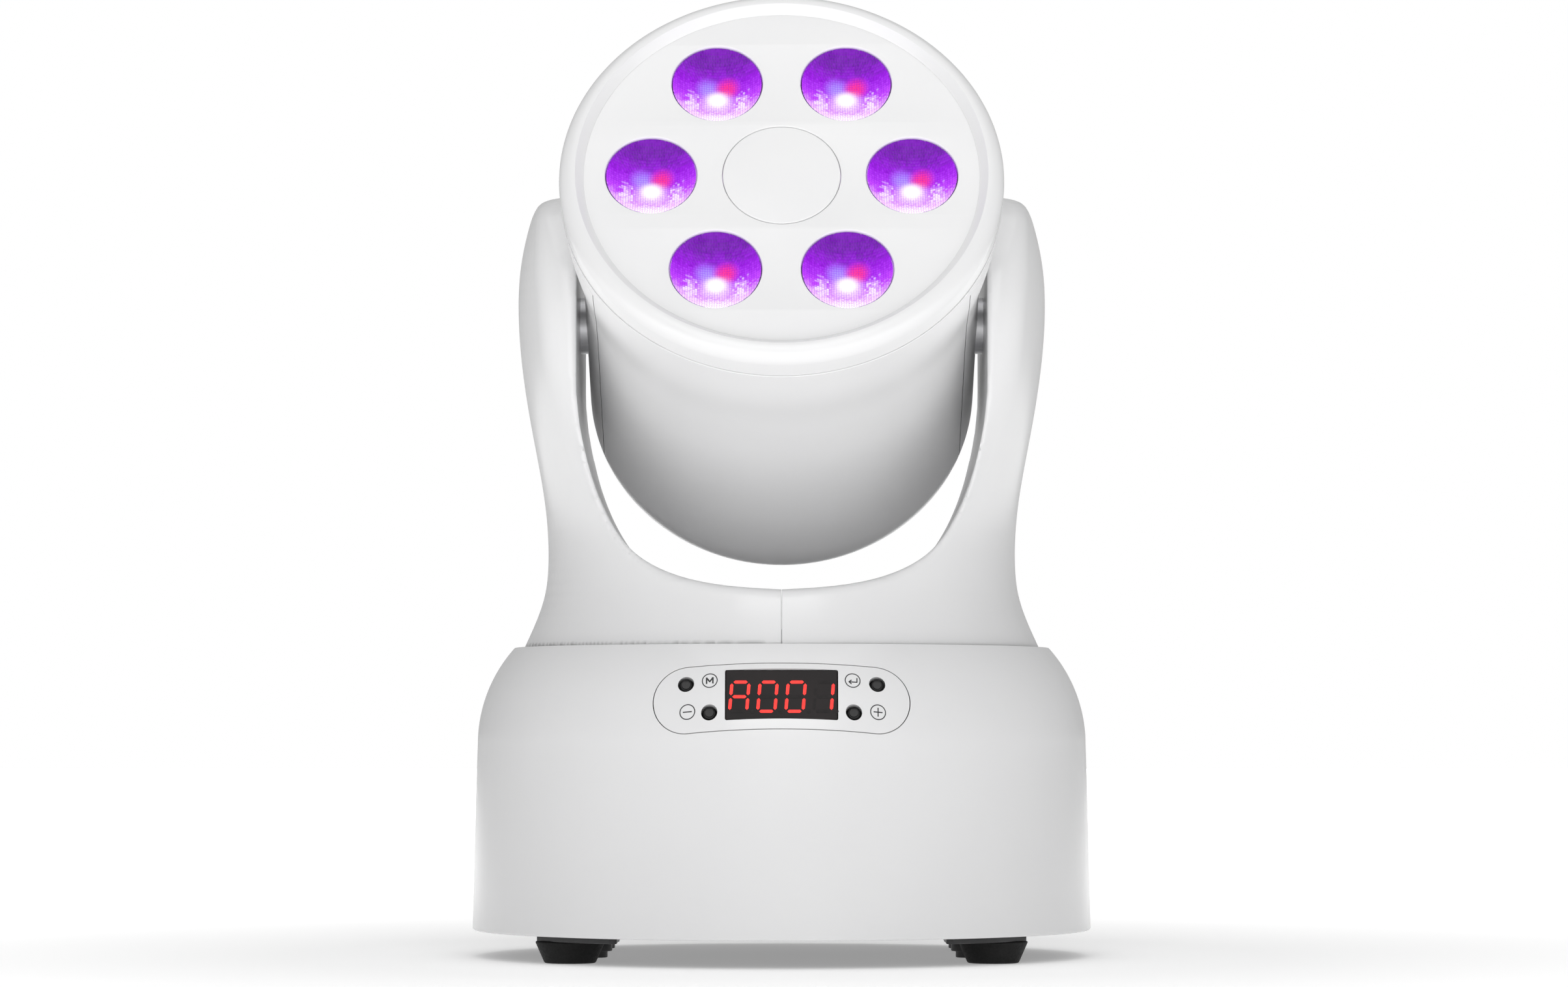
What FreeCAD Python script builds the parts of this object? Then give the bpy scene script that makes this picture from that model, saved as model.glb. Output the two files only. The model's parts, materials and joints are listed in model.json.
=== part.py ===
import FreeCAD, Part
import math
import os

# Moving head light: a round base, a yoke that pans on it, and a round head that tilts in the yoke.
# Millimetres. +X right, -Y front, +Z up. The origin is on the floor, on the pan axis.

WALL = 2.5
EASE = 0.15

# Base
BASE_BOTTOM = 7.5
BASE_R = 87.5
BASE_MID_R = 86.95
SHOULDER_Z = 60.0
SHOULDER_CENTRE_R = 45.7
SHOULDER_RADIUS = 40.5
RIM_R = 75.8
RIM_Z = 87.0
POCKET_R = 74.4
POCKET_Z = 85.5
PLATE_R = 84.5
PLATE_Z = 8.5
PLATE_TOP = 10.0
FOOT_X = 58.0
FOOT_Y = 48.0
FOOT_H = 6.0
SOCKET_X = 52.6
SOCKET_Y = 31.0

# Control panel, on the shoulder at the front
PANEL_Z = 73.3
PANEL_TILT = math.asin((PANEL_Z - SHOULDER_Z) / SHOULDER_RADIUS)
PANEL_R = SHOULDER_CENTRE_R + SHOULDER_RADIUS * math.cos(PANEL_TILT)
PANEL_W = 69.4
PANEL_H = 19.0
DISPLAY_W = 30.1
DISPLAY_H = 14.0
DISPLAY_V = 0.5
DIGIT_V = -0.07
DISPLAY_DEPTH = 7.2
DISPLAY_SINK = 1.6
HEADER_H = 2.8
BOARD_SINK = DISPLAY_SINK + DISPLAY_DEPTH + HEADER_H
SWITCH_BODY = 3.4
CAP_R = 1.75
CAP_HOLE_R = 2.2
BUTTONS = {
    "button_menu": (-25.7, 4.3),
    "button_down": (-19.4, -4.2),
    "button_enter": (25.7, 4.3),
    "button_up": (19.4, -4.2),
}

# Rear connector panel
REAR_Y = 74.0
REAR_W = 84.0
REAR_LOW = 13.0
REAR_HIGH = 66.0
INLET = (-19.0, 24.2)
FUSE = (17.0, 24.2)
DATA_IN = (-20.0, 50.3)
DATA_OUT = (20.0, 50.3)

# Pan drive
CHASSIS_R = 60.0
CHASSIS_Z = 81.0
SHAFT_R = 10.0
SHAFT_BORE_R = 7.0
BEARING_R = 18.0
PAN_PULLEY_R = 27.0
PAN_PULLEY_Z = 68.0
PAN_PULLEY_H = 8.0
PAN_MOTOR_X = -46.0
DRIVE_PULLEY_R = 9.0
BELT_GAP = 0.1
BELT_THICK = 1.4

# Yoke
YOKE_BOTTOM = 86.6
YOKE_TOP = 216.0
ARM_IN = 57.0
ARM_TOP_R = 37.0
TILT_Z = YOKE_TOP - ARM_TOP_R
YOKE_PLATE_Z = 87.5
YOKE_PLATE_H = 2.0

# Tilt drive, in the right arm
TILT_SHAFT_R = 8.0
BEARING_IN = 57.5
BEARING_OUT = 60.5
BELT_X = 60.8
BELT_W = 2.4
TILT_PULLEY_R = 17.0
TILT_DRIVE_R = 5.4
TILT_MOTOR_Z = 104.5
TILT_MOTOR_R = 12.8

# Head. Depths are measured back from the lens face along the beam axis.
HEAD_TILT = 28.8
AXIS_DEPTH = 75.0
HEAD_R = 60.8
WAIST_R = 55.5
FACE_R = 53.8
RING_PROUD = 2.5
RING_BACK = 7.4
RING_ROUND = 4.3
TAIL_ROUND = 26.0
HEAD_LENGTH = 134.0
LENS_R = 12.6
LENS_PITCH_R = 35.6
LENS_COUNT = 6
CAP_DISC_R = 16.2
COVER_X = 51.2
COVER_FRONT = 12.0
COVER_BACK = 116.0
FAN_FRONT = 48.0
FAN_DEPTH = 13.0
FAN_R = 27.5

X_AXIS = FreeCAD.Vector(1, 0, 0)
Y_AXIS = FreeCAD.Vector(0, 1, 0)
Z_AXIS = FreeCAD.Vector(0, 0, 1)
ORIGIN = FreeCAD.Vector(0, 0, 0)


def vec(x, y, z):
    return FreeCAD.Vector(x, y, z)


def line(a, b):
    return Part.LineSegment(a, b).toShape()


def arc(a, middle, b):
    return Part.Arc(a, middle, b).toShape()


def spline(points):
    curve = Part.BSplineCurve()
    curve.interpolate(points)
    return curve.toShape()


def face_of(edges):
    return Part.Face(Part.Wire(edges))


def polygon(points):
    closed = points + [points[0]]
    return Part.Face(Part.makePolygon(closed))


def lathe(points, axis=Z_AXIS):
    """A solid of revolution from (radius, height) points; about Y, height runs along +Y."""
    if axis == Z_AXIS:
        corners = [vec(r, 0, h) for r, h in points]
    else:
        corners = [vec(r, h, 0) for r, h in points]
    return polygon(corners).revolve(ORIGIN, axis, 360)


def rod(radius, low, high, x=0.0, y=0.0):
    return Part.makeCylinder(radius, high - low, vec(x, y, low))


def tube(outer, inner, low, high, x=0.0, y=0.0):
    return rod(outer, low, high, x, y).cut(rod(inner, low - 1, high + 1, x, y))


def rod_x(radius, low, high, y=0.0, z=0.0):
    return Part.makeCylinder(radius, high - low, vec(low, y, z), X_AXIS)


def rod_y(radius, low, high, x=0.0, z=0.0):
    return Part.makeCylinder(radius, high - low, vec(x, low, z), Y_AXIS)


def box(low, high):
    size = [b - a for a, b in zip(low, high)]
    return Part.makeBox(size[0], size[1], size[2], vec(low[0], low[1], low[2]))


def slab(width, height, low, high):
    """A centred rectangle in X and Y, from low to high along Z."""
    return box((-width / 2, -height / 2, low), (width / 2, height / 2, high))


def stadium(width, height, low, high):
    half = width / 2 - height / 2
    body = slab(2 * half, height, low, high)
    for side in (-1, 1):
        body = body.fuse(rod(height / 2, low, high, side * half))
    return body.removeSplitter()


def group(shapes):
    return Part.makeCompound(shapes)


def mirrored(shape):
    return shape.mirror(ORIGIN, X_AXIS)


def offset_points(points, distance):
    """Moves each point of an open outline to its left by distance."""
    moved = []
    for i, (x, z) in enumerate(points):
        before = points[max(i - 1, 0)]
        after = points[min(i + 1, len(points) - 1)]
        dx = after[0] - before[0]
        dz = after[1] - before[1]
        length = math.hypot(dx, dz)
        moved.append((x - dz / length * distance, z + dx / length * distance))
    return moved


def belt_outline(r_a, r_b, span):
    """The open belt loop round two pulleys, centres at 0 and span along X, as a face in XY."""
    lean = math.acos((r_a - r_b) / span)
    c, s = math.cos(lean), math.sin(lean)
    a_up = vec(r_a * c, r_a * s, 0)
    a_down = vec(r_a * c, -r_a * s, 0)
    b_up = vec(span + r_b * c, r_b * s, 0)
    b_down = vec(span + r_b * c, -r_b * s, 0)
    edges = [
        arc(a_up, vec(-r_a, 0, 0), a_down),
        line(a_down, b_down),
        arc(b_down, vec(span + r_b, 0, 0), b_up),
        line(b_up, a_up),
    ]
    return face_of(edges)


def belt(r_a, r_b, span, width):
    near = belt_outline(r_a + BELT_GAP, r_b + BELT_GAP, span)
    far = belt_outline(r_a + BELT_GAP + BELT_THICK, r_b + BELT_GAP + BELT_THICK, span)
    return far.cut(near).extrude(vec(0, 0, width))


def toothed_pulley(radius, height, teeth, bore):
    """A toothed belt pulley on Z with a flange at each end, standing on z = 0."""
    flange = 1.0
    wheel = rod(radius, 0, height)
    notch_r = 0.45
    for i in range(teeth):
        turn = math.radians(360.0 * i / teeth)
        notch = rod(notch_r, flange, height - flange, radius * math.cos(turn), radius * math.sin(turn))
        wheel = wheel.cut(notch)
    for low in (0, height - flange):
        wheel = wheel.fuse(rod(radius + 1.8, low, low + flange))
    return wheel.cut(rod(bore, -1, height + 1))


# ---------------------------------------------------------------- base


def shoulder_arc(radius, end_r=None, end_z=None):
    """The rounded shoulder from its foot to a given radius or height."""
    if end_z is None:
        end_angle = math.acos((end_r - SHOULDER_CENTRE_R) / radius)
    else:
        end_angle = math.asin((end_z - SHOULDER_Z) / radius)
    ends = []
    for angle in (0, end_angle / 2, end_angle):
        r = SHOULDER_CENTRE_R + radius * math.cos(angle)
        ends.append(vec(r, 0, SHOULDER_Z + radius * math.sin(angle)))
    return ends


def base_outside():
    """The drum as a full solid, with its rounded shoulder."""
    low = vec(BASE_R, 0, BASE_BOTTOM)
    middle = vec(BASE_MID_R, 0, (BASE_BOTTOM + SHOULDER_Z) / 2)
    foot, half, rim = shoulder_arc(SHOULDER_RADIUS, end_r=RIM_R)
    axis_top = vec(0, 0, rim.z)
    axis_low = vec(0, 0, BASE_BOTTOM)
    edges = [
        arc(low, middle, foot),
        arc(foot, half, rim),
        line(rim, axis_top),
        line(axis_top, axis_low),
        line(axis_low, low),
    ]
    return face_of(edges).revolve(ORIGIN, Z_AXIS, 360)


def base_inside():
    """The hollow of the drum, open below."""
    below = BASE_BOTTOM - 5
    low = vec(BASE_R - WALL, 0, below)
    middle = vec(BASE_MID_R - WALL, 0, (BASE_BOTTOM + SHOULDER_Z) / 2)
    foot, half, top = shoulder_arc(SHOULDER_RADIUS - WALL, end_z=POCKET_Z - WALL)
    axis_top = vec(0, 0, top.z)
    axis_low = vec(0, 0, below)
    edges = [
        arc(low, middle, foot),
        arc(foot, half, top),
        line(top, axis_top),
        line(axis_top, axis_low),
        line(axis_low, low),
    ]
    return face_of(edges).revolve(ORIGIN, Z_AXIS, 360)


def on_panel(shape):
    """Moves a shape from the panel's frame (X across, Y up the panel, Z outwards) to its place."""
    placed = shape.copy()
    placed.rotate(ORIGIN, X_AXIS, 90 - math.degrees(PANEL_TILT))
    placed.translate(vec(0, -PANEL_R, PANEL_Z))
    return placed


def base_shell():
    shell = base_outside().cut(base_inside())
    frame = box((-REAR_W / 2 - WALL, REAR_Y - 3, REAR_LOW - WALL), (REAR_W / 2 + WALL, 95, REAR_HIGH + WALL))
    shell = shell.fuse(frame.common(base_outside()))
    shell = shell.cut(box((-REAR_W / 2, REAR_Y - 9, REAR_LOW), (REAR_W / 2, 95, REAR_HIGH)))
    shell = shell.cut(rod(POCKET_R, POCKET_Z, RIM_Z + 5))
    shell = shell.cut(rod(BEARING_R + 1, 70, 95))
    shell = shell.cut(on_panel(stadium(PANEL_W, PANEL_H, -14, 8)))
    for x, y in chassis_screw_places():
        shell = shell.cut(rod(1.3, CHASSIS_Z, POCKET_Z - 1.0, x, y))
    return shell


def chassis_screw_places():
    places = []
    for i in range(6):
        turn = math.radians(30 + 60 * i)
        places.append((52 * math.cos(turn), 52 * math.sin(turn)))
    return places


def control_panel():
    skin = base_outside().cut(base_inside())
    panel = skin.common(on_panel(stadium(PANEL_W - 2 * EASE, PANEL_H - 2 * EASE, -14, 8)))
    window = slab(DISPLAY_W + 2 * EASE, DISPLAY_H + 2 * EASE, -14, 8)
    window.translate(vec(0, DISPLAY_V, 0))
    panel = panel.cut(on_panel(window))
    for x, y in BUTTONS.values():
        panel = panel.cut(on_panel(rod(CAP_HOLE_R, -14, 8, x, y)))
    return panel


def display_module():
    """The display's block, standing off its board on two pin headers."""
    body = slab(DISPLAY_W, DISPLAY_H, HEADER_H - BOARD_SINK, -DISPLAY_SINK)
    for y in (-5.1, 5.1):
        header = slab(15.2, 2.5, -BOARD_SINK, HEADER_H - BOARD_SINK)
        header.translate(vec(0, y, 0))
        body = body.fuse(header)
    body.translate(vec(0, DISPLAY_V, 0))
    return on_panel(body)


def digit_bars(segments, x):
    """The lit bars of one slanted digit, 9.1 mm high, as shallow solids on the display's face."""
    half_w, half_h, wide = 2.3, 4.15, 0.85
    slant = math.tan(math.radians(4.5))
    places = {
        "a": (-half_w, half_h, half_w, half_h),
        "b": (half_w, 0, half_w, half_h),
        "c": (half_w, -half_h, half_w, 0),
        "d": (-half_w, -half_h, half_w, -half_h),
        "e": (-half_w, -half_h, -half_w, 0),
        "f": (-half_w, 0, -half_w, half_h),
        "g": (-half_w, 0, half_w, 0),
    }
    bars = []
    for name in segments:
        x0, y0, x1, y1 = places[name]
        gap = 0.5
        if y0 == y1:
            ring = [
                (x0 + gap, y0),
                (x0 + gap + wide / 2, y0 + wide / 2),
                (x1 - gap - wide / 2, y0 + wide / 2),
                (x1 - gap, y0),
                (x1 - gap - wide / 2, y0 - wide / 2),
                (x0 + gap + wide / 2, y0 - wide / 2),
            ]
        else:
            ring = [
                (x0, y0 + gap),
                (x0 - wide / 2, y0 + gap + wide / 2),
                (x0 - wide / 2, y1 - gap - wide / 2),
                (x0, y1 - gap),
                (x0 + wide / 2, y1 - gap - wide / 2),
                (x0 + wide / 2, y0 + gap + wide / 2),
            ]
        corners = [vec(x + px + py * slant, py, -DISPLAY_SINK) for px, py in ring]
        bars.append(polygon(corners).extrude(vec(0, 0, 0.12)))
    return bars


def display_digits():
    bars = []
    pitch = 7.55
    for i, segments in enumerate(("abcefg", "abcdef", "abcdef", "bc")):
        bars += digit_bars(segments, (i - 1.5) * pitch)
    digits = group(bars)
    digits.translate(vec(0, DIGIT_V, 0))
    return on_panel(digits)


def control_board():
    board = slab(62, 16.4, -BOARD_SINK - 1.4, -BOARD_SINK)
    for x in (-29, 29):
        board = board.cut(rod(1.2, -20, 0, x, -6.4))
    return on_panel(board)


def cap_top(x, y):
    """How far the panel's skin lies behind the panel's centre plane at a button, plus 0.2 mm."""
    back_x = PANEL_R - math.sqrt(PANEL_R**2 - x**2)
    back_y = SHOULDER_RADIUS - math.sqrt(SHOULDER_RADIUS**2 - y**2)
    return -(back_x * math.cos(PANEL_TILT) + back_y + 0.2)


def button_cap(place):
    x, y = place
    top = cap_top(x, y)
    low = -BOARD_SINK + SWITCH_BODY + 0.35
    crown = 0.35
    profile = [(0, low), (CAP_R, low), (CAP_R, top - crown), (CAP_R - crown, top), (0, top)]
    cap = lathe(profile)
    cap.translate(vec(x, y, 0))
    return on_panel(cap)


def tact_switches():
    """The fixed bodies of the four push switches, with the hole that each plunger works in."""
    bodies = []
    for x, y in BUTTONS.values():
        body = slab(6, 6, -BOARD_SINK, -BOARD_SINK + SWITCH_BODY)
        body = body.cut(rod(1.9, -BOARD_SINK + 1.2, 0))
        body.translate(vec(x, y, 0))
        bodies.append(body)
    return on_panel(group(bodies))


def rear_panel():
    panel = box(
        (-REAR_W / 2 + EASE, REAR_Y - 2, REAR_LOW + EASE),
        (REAR_W / 2 - EASE, REAR_Y, REAR_HIGH - EASE),
    )
    x, z = INLET
    panel = panel.cut(box((x - 13.8, 60, z - 10), (x + 13.8, 90, z + 10)))
    panel = panel.cut(rod_y(6.1, 60, 90, *FUSE))
    for place in (DATA_IN, DATA_OUT):
        panel = panel.cut(rod_y(11.8, 60, 90, *place))
    for x in (-38, 38):
        for z in (17, 62):
            panel = panel.cut(rod_y(1.6, 60, 90, x, z))
    return panel


def rear_screws():
    screws = []
    for x in (-38, 38):
        for z in (17, 62):
            screws.append(rod_y(1.5, REAR_Y - 8, REAR_Y, x, z).fuse(rod_y(2.8, REAR_Y, REAR_Y + 1.6, x, z)))
    return screws


def power_inlet():
    """The mains inlet: a flange, a body behind the panel and the socket that the plug goes in."""
    x, z = INLET
    flange = box((x - 15.4, REAR_Y, z - 10.6), (x + 15.4, REAR_Y + 2.5, z + 10.6))
    body = box((x - 13.6, REAR_Y - 18, z - 9.8), (x + 13.6, REAR_Y, z + 9.8))
    mouth = [
        vec(x - 12.2, 0, z - 8.2),
        vec(x + 12.2, 0, z - 8.2),
        vec(x + 12.2, 0, z + 4.2),
        vec(x + 8.2, 0, z + 8.2),
        vec(x - 8.2, 0, z + 8.2),
        vec(x - 12.2, 0, z + 4.2),
    ]
    socket = polygon(mouth).extrude(vec(0, 40, 0))
    socket.translate(vec(0, REAR_Y - 15, 0))
    return flange.fuse(body).cut(socket)


def connector_pins():
    """The three blades of the mains inlet and the three pins of the data input."""
    x, z = INLET
    pins = []
    for dx, dz in ((-7, -2), (7, -2), (0, 2)):
        pins.append(box((x + dx - 1, REAR_Y - 15, z + dz - 2), (x + dx + 1, REAR_Y - 1, z + dz + 2)))
    x, z = DATA_IN
    for dx, dz in contact_places():
        pins.append(rod_y(1.2, REAR_Y - 14, REAR_Y - 3, x + dx, z + dz))
    return group(pins)


def contact_places():
    turns = [math.radians(t) for t in (90, 210, 330)]
    return [(3.6 * math.cos(t), 3.6 * math.sin(t)) for t in turns]


def fuse_holder():
    barrel = rod_y(6.0, REAR_Y - 24, REAR_Y, *FUSE)
    cap = rod_y(7.5, REAR_Y, REAR_Y + 2, *FUSE).fuse(rod_y(5.8, REAR_Y + 2, REAR_Y + 8, *FUSE))
    slot = box((FUSE[0] - 4, REAR_Y + 6.8, FUSE[1] - 0.6), (FUSE[0] + 4, REAR_Y + 9, FUSE[1] + 0.6))
    return barrel.fuse(cap).cut(slot)


def data_socket(place):
    """The round three-pole panel connector's housing, with its flange."""
    x, z = place
    flange = box((x - 13, REAR_Y, z - 15.4), (x + 13, REAR_Y + 2, z + 15.4))
    flange = flange.makeFillet(3.0, [e for e in flange.Edges if abs(e.tangentAt(e.FirstParameter).y) > 0.9])
    return flange.fuse(rod_y(11.7, REAR_Y - 20, REAR_Y + 1, x, z))


def data_input():
    x, z = DATA_IN
    return data_socket(DATA_IN).cut(rod_y(9.4, REAR_Y - 14, REAR_Y + 5, x, z))


def data_output():
    """The outgoing connector: a ring gap round an insert with three contact holes."""
    x, z = DATA_OUT
    gap = rod_y(9.4, REAR_Y - 12, REAR_Y + 5, x, z).cut(rod_y(7.6, REAR_Y - 13, REAR_Y + 6, x, z))
    body = data_socket(DATA_OUT).cut(gap)
    for dx, dz in contact_places():
        body = body.cut(rod_y(1.3, REAR_Y - 12, REAR_Y + 5, x + dx, z + dz))
    return body


def foot_places():
    return [(sx * FOOT_X, sy * FOOT_Y) for sy in (-1, 1) for sx in (-1, 1)]


def socket_places():
    return [(sx * SOCKET_X, sy * SOCKET_Y) for sy in (-1, 1) for sx in (-1, 1)]


def base_plate():
    plate = rod(PLATE_R, PLATE_Z, PLATE_TOP)
    for x, y in foot_places():
        plate = plate.cut(rod(1.6, 0, 20, x, y))
    for x, y in socket_places():
        plate = plate.cut(rod(3.0, 0, 20, x, y))
    for i in range(-4, 5):
        plate = plate.cut(box((i * 7 - 1.5, -22, 0), (i * 7 + 1.5, 22, 20)))
    return plate


def foot_rails():
    """Two flat steel rails under the base plate; each carries two feet and two bracket sockets."""
    rail = box((44.5, -70, FOOT_H), (67, 70, PLATE_Z)).common(rod(PLATE_R - 0.5, 0, 20))
    rails = rail.fuse(mirrored(rail))
    for x, y in foot_places():
        rails = rails.cut(rod(1.6, 0, 20, x, y))
    for x, y in socket_places():
        rails = rails.cut(rod(3.0, 0, 20, x, y))
    return rails


def rubber_feet():
    feet = []
    for x, y in foot_places():
        foot = lathe([(0, 0), (6.6, 0), (7.2, 0.6), (9.65, FOOT_H), (0, FOOT_H)])
        foot = foot.cut(rod(3.4, -1, 3)).cut(rod(1.6, -1, 10))
        foot.translate(vec(x, y, 0))
        feet.append(foot)
    return group(feet)


def foot_screws():
    return [rod(2.9, 1.0, 3.0, x, y).fuse(rod(1.5, 3.0, 13, x, y)) for x, y in foot_places()]


def base_screws():
    return group(foot_screws() + rear_screws() + chassis_screws())


def bracket_sockets():
    """The four stepped steel bushes with the M5 threads that an omega bracket bolts to."""
    bushes = []
    for x, y in socket_places():
        bush = rod(5.6, 2.6, FOOT_H, x, y).fuse(rod(4.3, 0.8, 2.6, x, y)).fuse(rod(3.0, FOOT_H, 12, x, y))
        bushes.append(bush.cut(rod(2.5, 0, 20, x, y)))
    return group(bushes)


def power_supply_board():
    board = box((12, -46, 16), (60, 46, 17.6))
    for x in (16, 56):
        for y in (-40, 40):
            board = board.cut(rod(1.6, 10, 20, x, y))
            board = board.fuse(tube(3.0, 1.6, PLATE_TOP, 16, x, y))
    transformer = box((20, -36, 17.6), (46, -10, 42))
    heat_spreader = box((20, 22, 17.6), (44, 38, 36))
    capacitors = [rod(9, 17.6, 44, 50, 8), rod(9, 17.6, 44, 28, 6)]
    return group([board, transformer, heat_spreader] + capacitors)


def main_board():
    board = box((-64, -36, 16), (-6, 34, 17.6))
    for x in (-60, -10):
        for y in (-32, 30):
            board = board.fuse(tube(3.0, 1.6, PLATE_TOP, 16, x, y))
    processor = box((-46, -12, 17.6), (-32, 2, 19.4))
    drivers = box((-24, -28, 17.6), (-12, 20, 25))
    capacitor = rod(4, 17.6, 27, -54, 24)
    return group([board, processor, drivers, capacitor])


def top_chassis():
    plate = rod(CHASSIS_R, CHASSIS_Z, POCKET_Z - WALL).cut(rod(BEARING_R, 70, 95))
    for x, y in chassis_screw_places():
        plate = plate.cut(rod(1.6, 70, 95, x, y))
    return plate


def chassis_screws():
    screws = []
    for x, y in chassis_screw_places():
        shank = rod(1.25, CHASSIS_Z, POCKET_Z - 1.2, x, y)
        screws.append(shank.fuse(rod(2.8, CHASSIS_Z - 2, CHASSIS_Z, x, y)))
    return screws


def pan_bearing_outer():
    """Outer race and balls; the balls stay clear of the inner race, which turns with the yoke."""
    parts = [tube(BEARING_R, 15.7, 79, 84.5)]
    for i in range(12):
        turn = math.radians(30 * i)
        parts.append(Part.makeSphere(1.45, vec(14.0 * math.cos(turn), 14.0 * math.sin(turn), 81.75)))
    return group(parts)


def pan_motor():
    body = slab(42, 42, 30, 64)
    body = body.makeChamfer(4, [e for e in body.Edges if abs(e.tangentAt(e.FirstParameter).z) > 0.9])
    body = body.cut(rod(2.6, 50, 70))
    for x, y in ((-15.5, -15.5), (-15.5, 15.5), (14.5, -12.5), (14.5, 12.5)):
        body = body.fuse(rod(2.0, 64, CHASSIS_Z, x, y))
    body.translate(vec(PAN_MOTOR_X, 0, 0))
    return body


def pan_drive_pulley():
    """The motor's small pulley with the shaft that it is pressed on."""
    pulley = toothed_pulley(DRIVE_PULLEY_R, PAN_PULLEY_H, 20, 2.5)
    pulley.translate(vec(PAN_MOTOR_X, 0, PAN_PULLEY_Z))
    return pulley.fuse(rod(2.5, 52, 78, PAN_MOTOR_X, 0))


def pan_belt():
    loop = belt(DRIVE_PULLEY_R, PAN_PULLEY_R, -PAN_MOTOR_X, PAN_PULLEY_H - 2.6)
    loop.translate(vec(PAN_MOTOR_X, 0, PAN_PULLEY_Z + 1.3))
    return loop


# ---------------------------------------------------------------- yoke


def yoke_side():
    """Points (radius, height) of the yoke's turned outside, from the foot to the top of the arms."""
    return [
        (73.3, YOKE_BOTTOM),
        (70.4, 93.0),
        (67.3, 102.0),
        (66.3, 112.0),
        (67.4, 128.6),
        (70.5, 146.0),
        (73.5, 164.0),
        (74.9, 180.0),
        (74.5, 194.0),
        (72.2, 206.0),
        (68.5, 213.6),
        (63.0, YOKE_TOP),
    ]


def yoke_flank():
    """Points (half depth, height) of the arms' front and back faces, from the axis down."""
    return [
        (37.0, TILT_Z),
        (37.4, 166.0),
        (39.4, 150.0),
        (44.5, 134.0),
        (53.0, 120.0),
        (64.0, 109.0),
        (76.0, 102.0),
    ]


def yoke_mouth():
    """Points (half width, height) of the U between the arms, from the middle up."""
    return [
        (0.0, 102.0),
        (17.0, 103.4),
        (31.0, 107.0),
        (40.9, 113.0),
        (47.3, 121.5),
        (51.6, 131.0),
        (54.9, 143.0),
        (ARM_IN, 158.0),
    ]


def turned_yoke(inset):
    points = offset_points(yoke_side(), inset)
    corners = [vec(r, 0, z) for r, z in points]
    top = corners[-1].z
    low = corners[0].z
    edges = [
        line(vec(0, 0, low), corners[0]),
        spline(corners),
        line(corners[-1], vec(0, 0, top)),
        line(vec(0, 0, top), vec(0, 0, low)),
    ]
    return face_of(edges).revolve(ORIGIN, Z_AXIS, 360)


def flank_prism(inset):
    """The arms' outline seen from the side: a round top, flanks that spread to the foot."""
    flank = [(y, z) for y, z in offset_points(yoke_flank(), inset)]
    flank[0] = (ARM_TOP_R - inset, TILT_Z)
    right = [vec(0, y, z) for y, z in flank]
    left = [vec(0, -p.y, p.z) for p in right]
    foot_z = YOKE_BOTTOM - 20
    foot_right = vec(0, right[-1].y, foot_z)
    foot_left = vec(0, left[-1].y, foot_z)
    edges = [
        arc(left[0], vec(0, 0, TILT_Z + ARM_TOP_R - inset), right[0]),
        spline(right),
        line(right[-1], foot_right),
        line(foot_right, foot_left),
        line(foot_left, left[-1]),
        spline(left[::-1]),
    ]
    prism = face_of(edges).extrude(vec(240, 0, 0))
    prism.translate(vec(-120, 0, 0))
    return prism


def mouth_prism(inset):
    """The space between the arms, as a prism through the yoke."""
    points = offset_points(yoke_mouth(), -inset)
    points[0] = (0.0, yoke_mouth()[0][1] - inset)
    right = [vec(x, 0, z) for x, z in points]
    left = [vec(-p.x, 0, p.z) for p in right]
    top_right = vec(right[-1].x, 0, YOKE_TOP + 20)
    top_left = vec(left[-1].x, 0, YOKE_TOP + 20)
    edges = [
        spline(left[::-1] + right[1:]),
        line(right[-1], top_right),
        line(top_right, top_left),
        line(top_left, left[-1]),
    ]
    prism = face_of(edges).extrude(vec(0, 200, 0))
    prism.translate(vec(0, -100, 0))
    return prism


def head_sweep(grow):
    """The space that the back of the head turns through, about the tilt axis."""
    right = [
        (56.5, 39.0),
        (54.6, 51.0),
        (47.9, 60.0),
        (37.9, 66.6),
        (27.0, 71.4),
        (14.0, 74.8),
        (0.0, 75.9),
    ]
    curve = [vec(x, 0, r) for x, r in offset_points(right, -grow)]
    curve[-1] = vec(0, 0, right[-1][1] + grow)
    mirror_curve = [vec(-p.x, 0, p.z) for p in curve[::-1]]
    wide = curve[0].x
    edges = [
        line(vec(wide, 0, 0), curve[0]),
        spline(curve + mirror_curve[1:]),
        line(mirror_curve[-1], vec(-wide, 0, 0)),
        line(vec(-wide, 0, 0), vec(wide, 0, 0)),
    ]
    swept = face_of(edges).revolve(ORIGIN, X_AXIS, 360)
    swept.translate(vec(0, 0, TILT_Z))
    return swept


def yoke_outside():
    solid = turned_yoke(0).common(flank_prism(0)).cut(mouth_prism(0))
    return solid.cut(head_sweep(0))


def yoke_inside():
    cavity = turned_yoke(WALL).common(flank_prism(WALL)).cut(mouth_prism(WALL))
    cavity = cavity.cut(head_sweep(WALL))
    opening = rod(69.6, YOKE_BOTTOM - 5, YOKE_BOTTOM + 4)
    return cavity.fuse(opening)


def yoke_half(side):
    """One half of the yoke's moulded shell, split on the middle plane, with its bearing seat."""
    shell = yoke_outside().cut(yoke_inside())
    half = box((0, -120, 60), (120, 120, 240))
    if side < 0:
        half = mirrored(half)
    shell = shell.common(half)
    seat = rod_x(14.5, ARM_IN + 0.4, BEARING_OUT, 0, TILT_Z)
    seat = seat.cut(head_sweep(0))
    hollow = rod_x(12.0, BEARING_IN, BEARING_OUT + 1, 0, TILT_Z)
    hollow = hollow.fuse(rod_x(TILT_SHAFT_R + 0.8, 50, BEARING_OUT, 0, TILT_Z))
    if side < 0:
        seat = mirrored(seat)
        hollow = mirrored(hollow)
    return shell.fuse(seat).cut(hollow)


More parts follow.
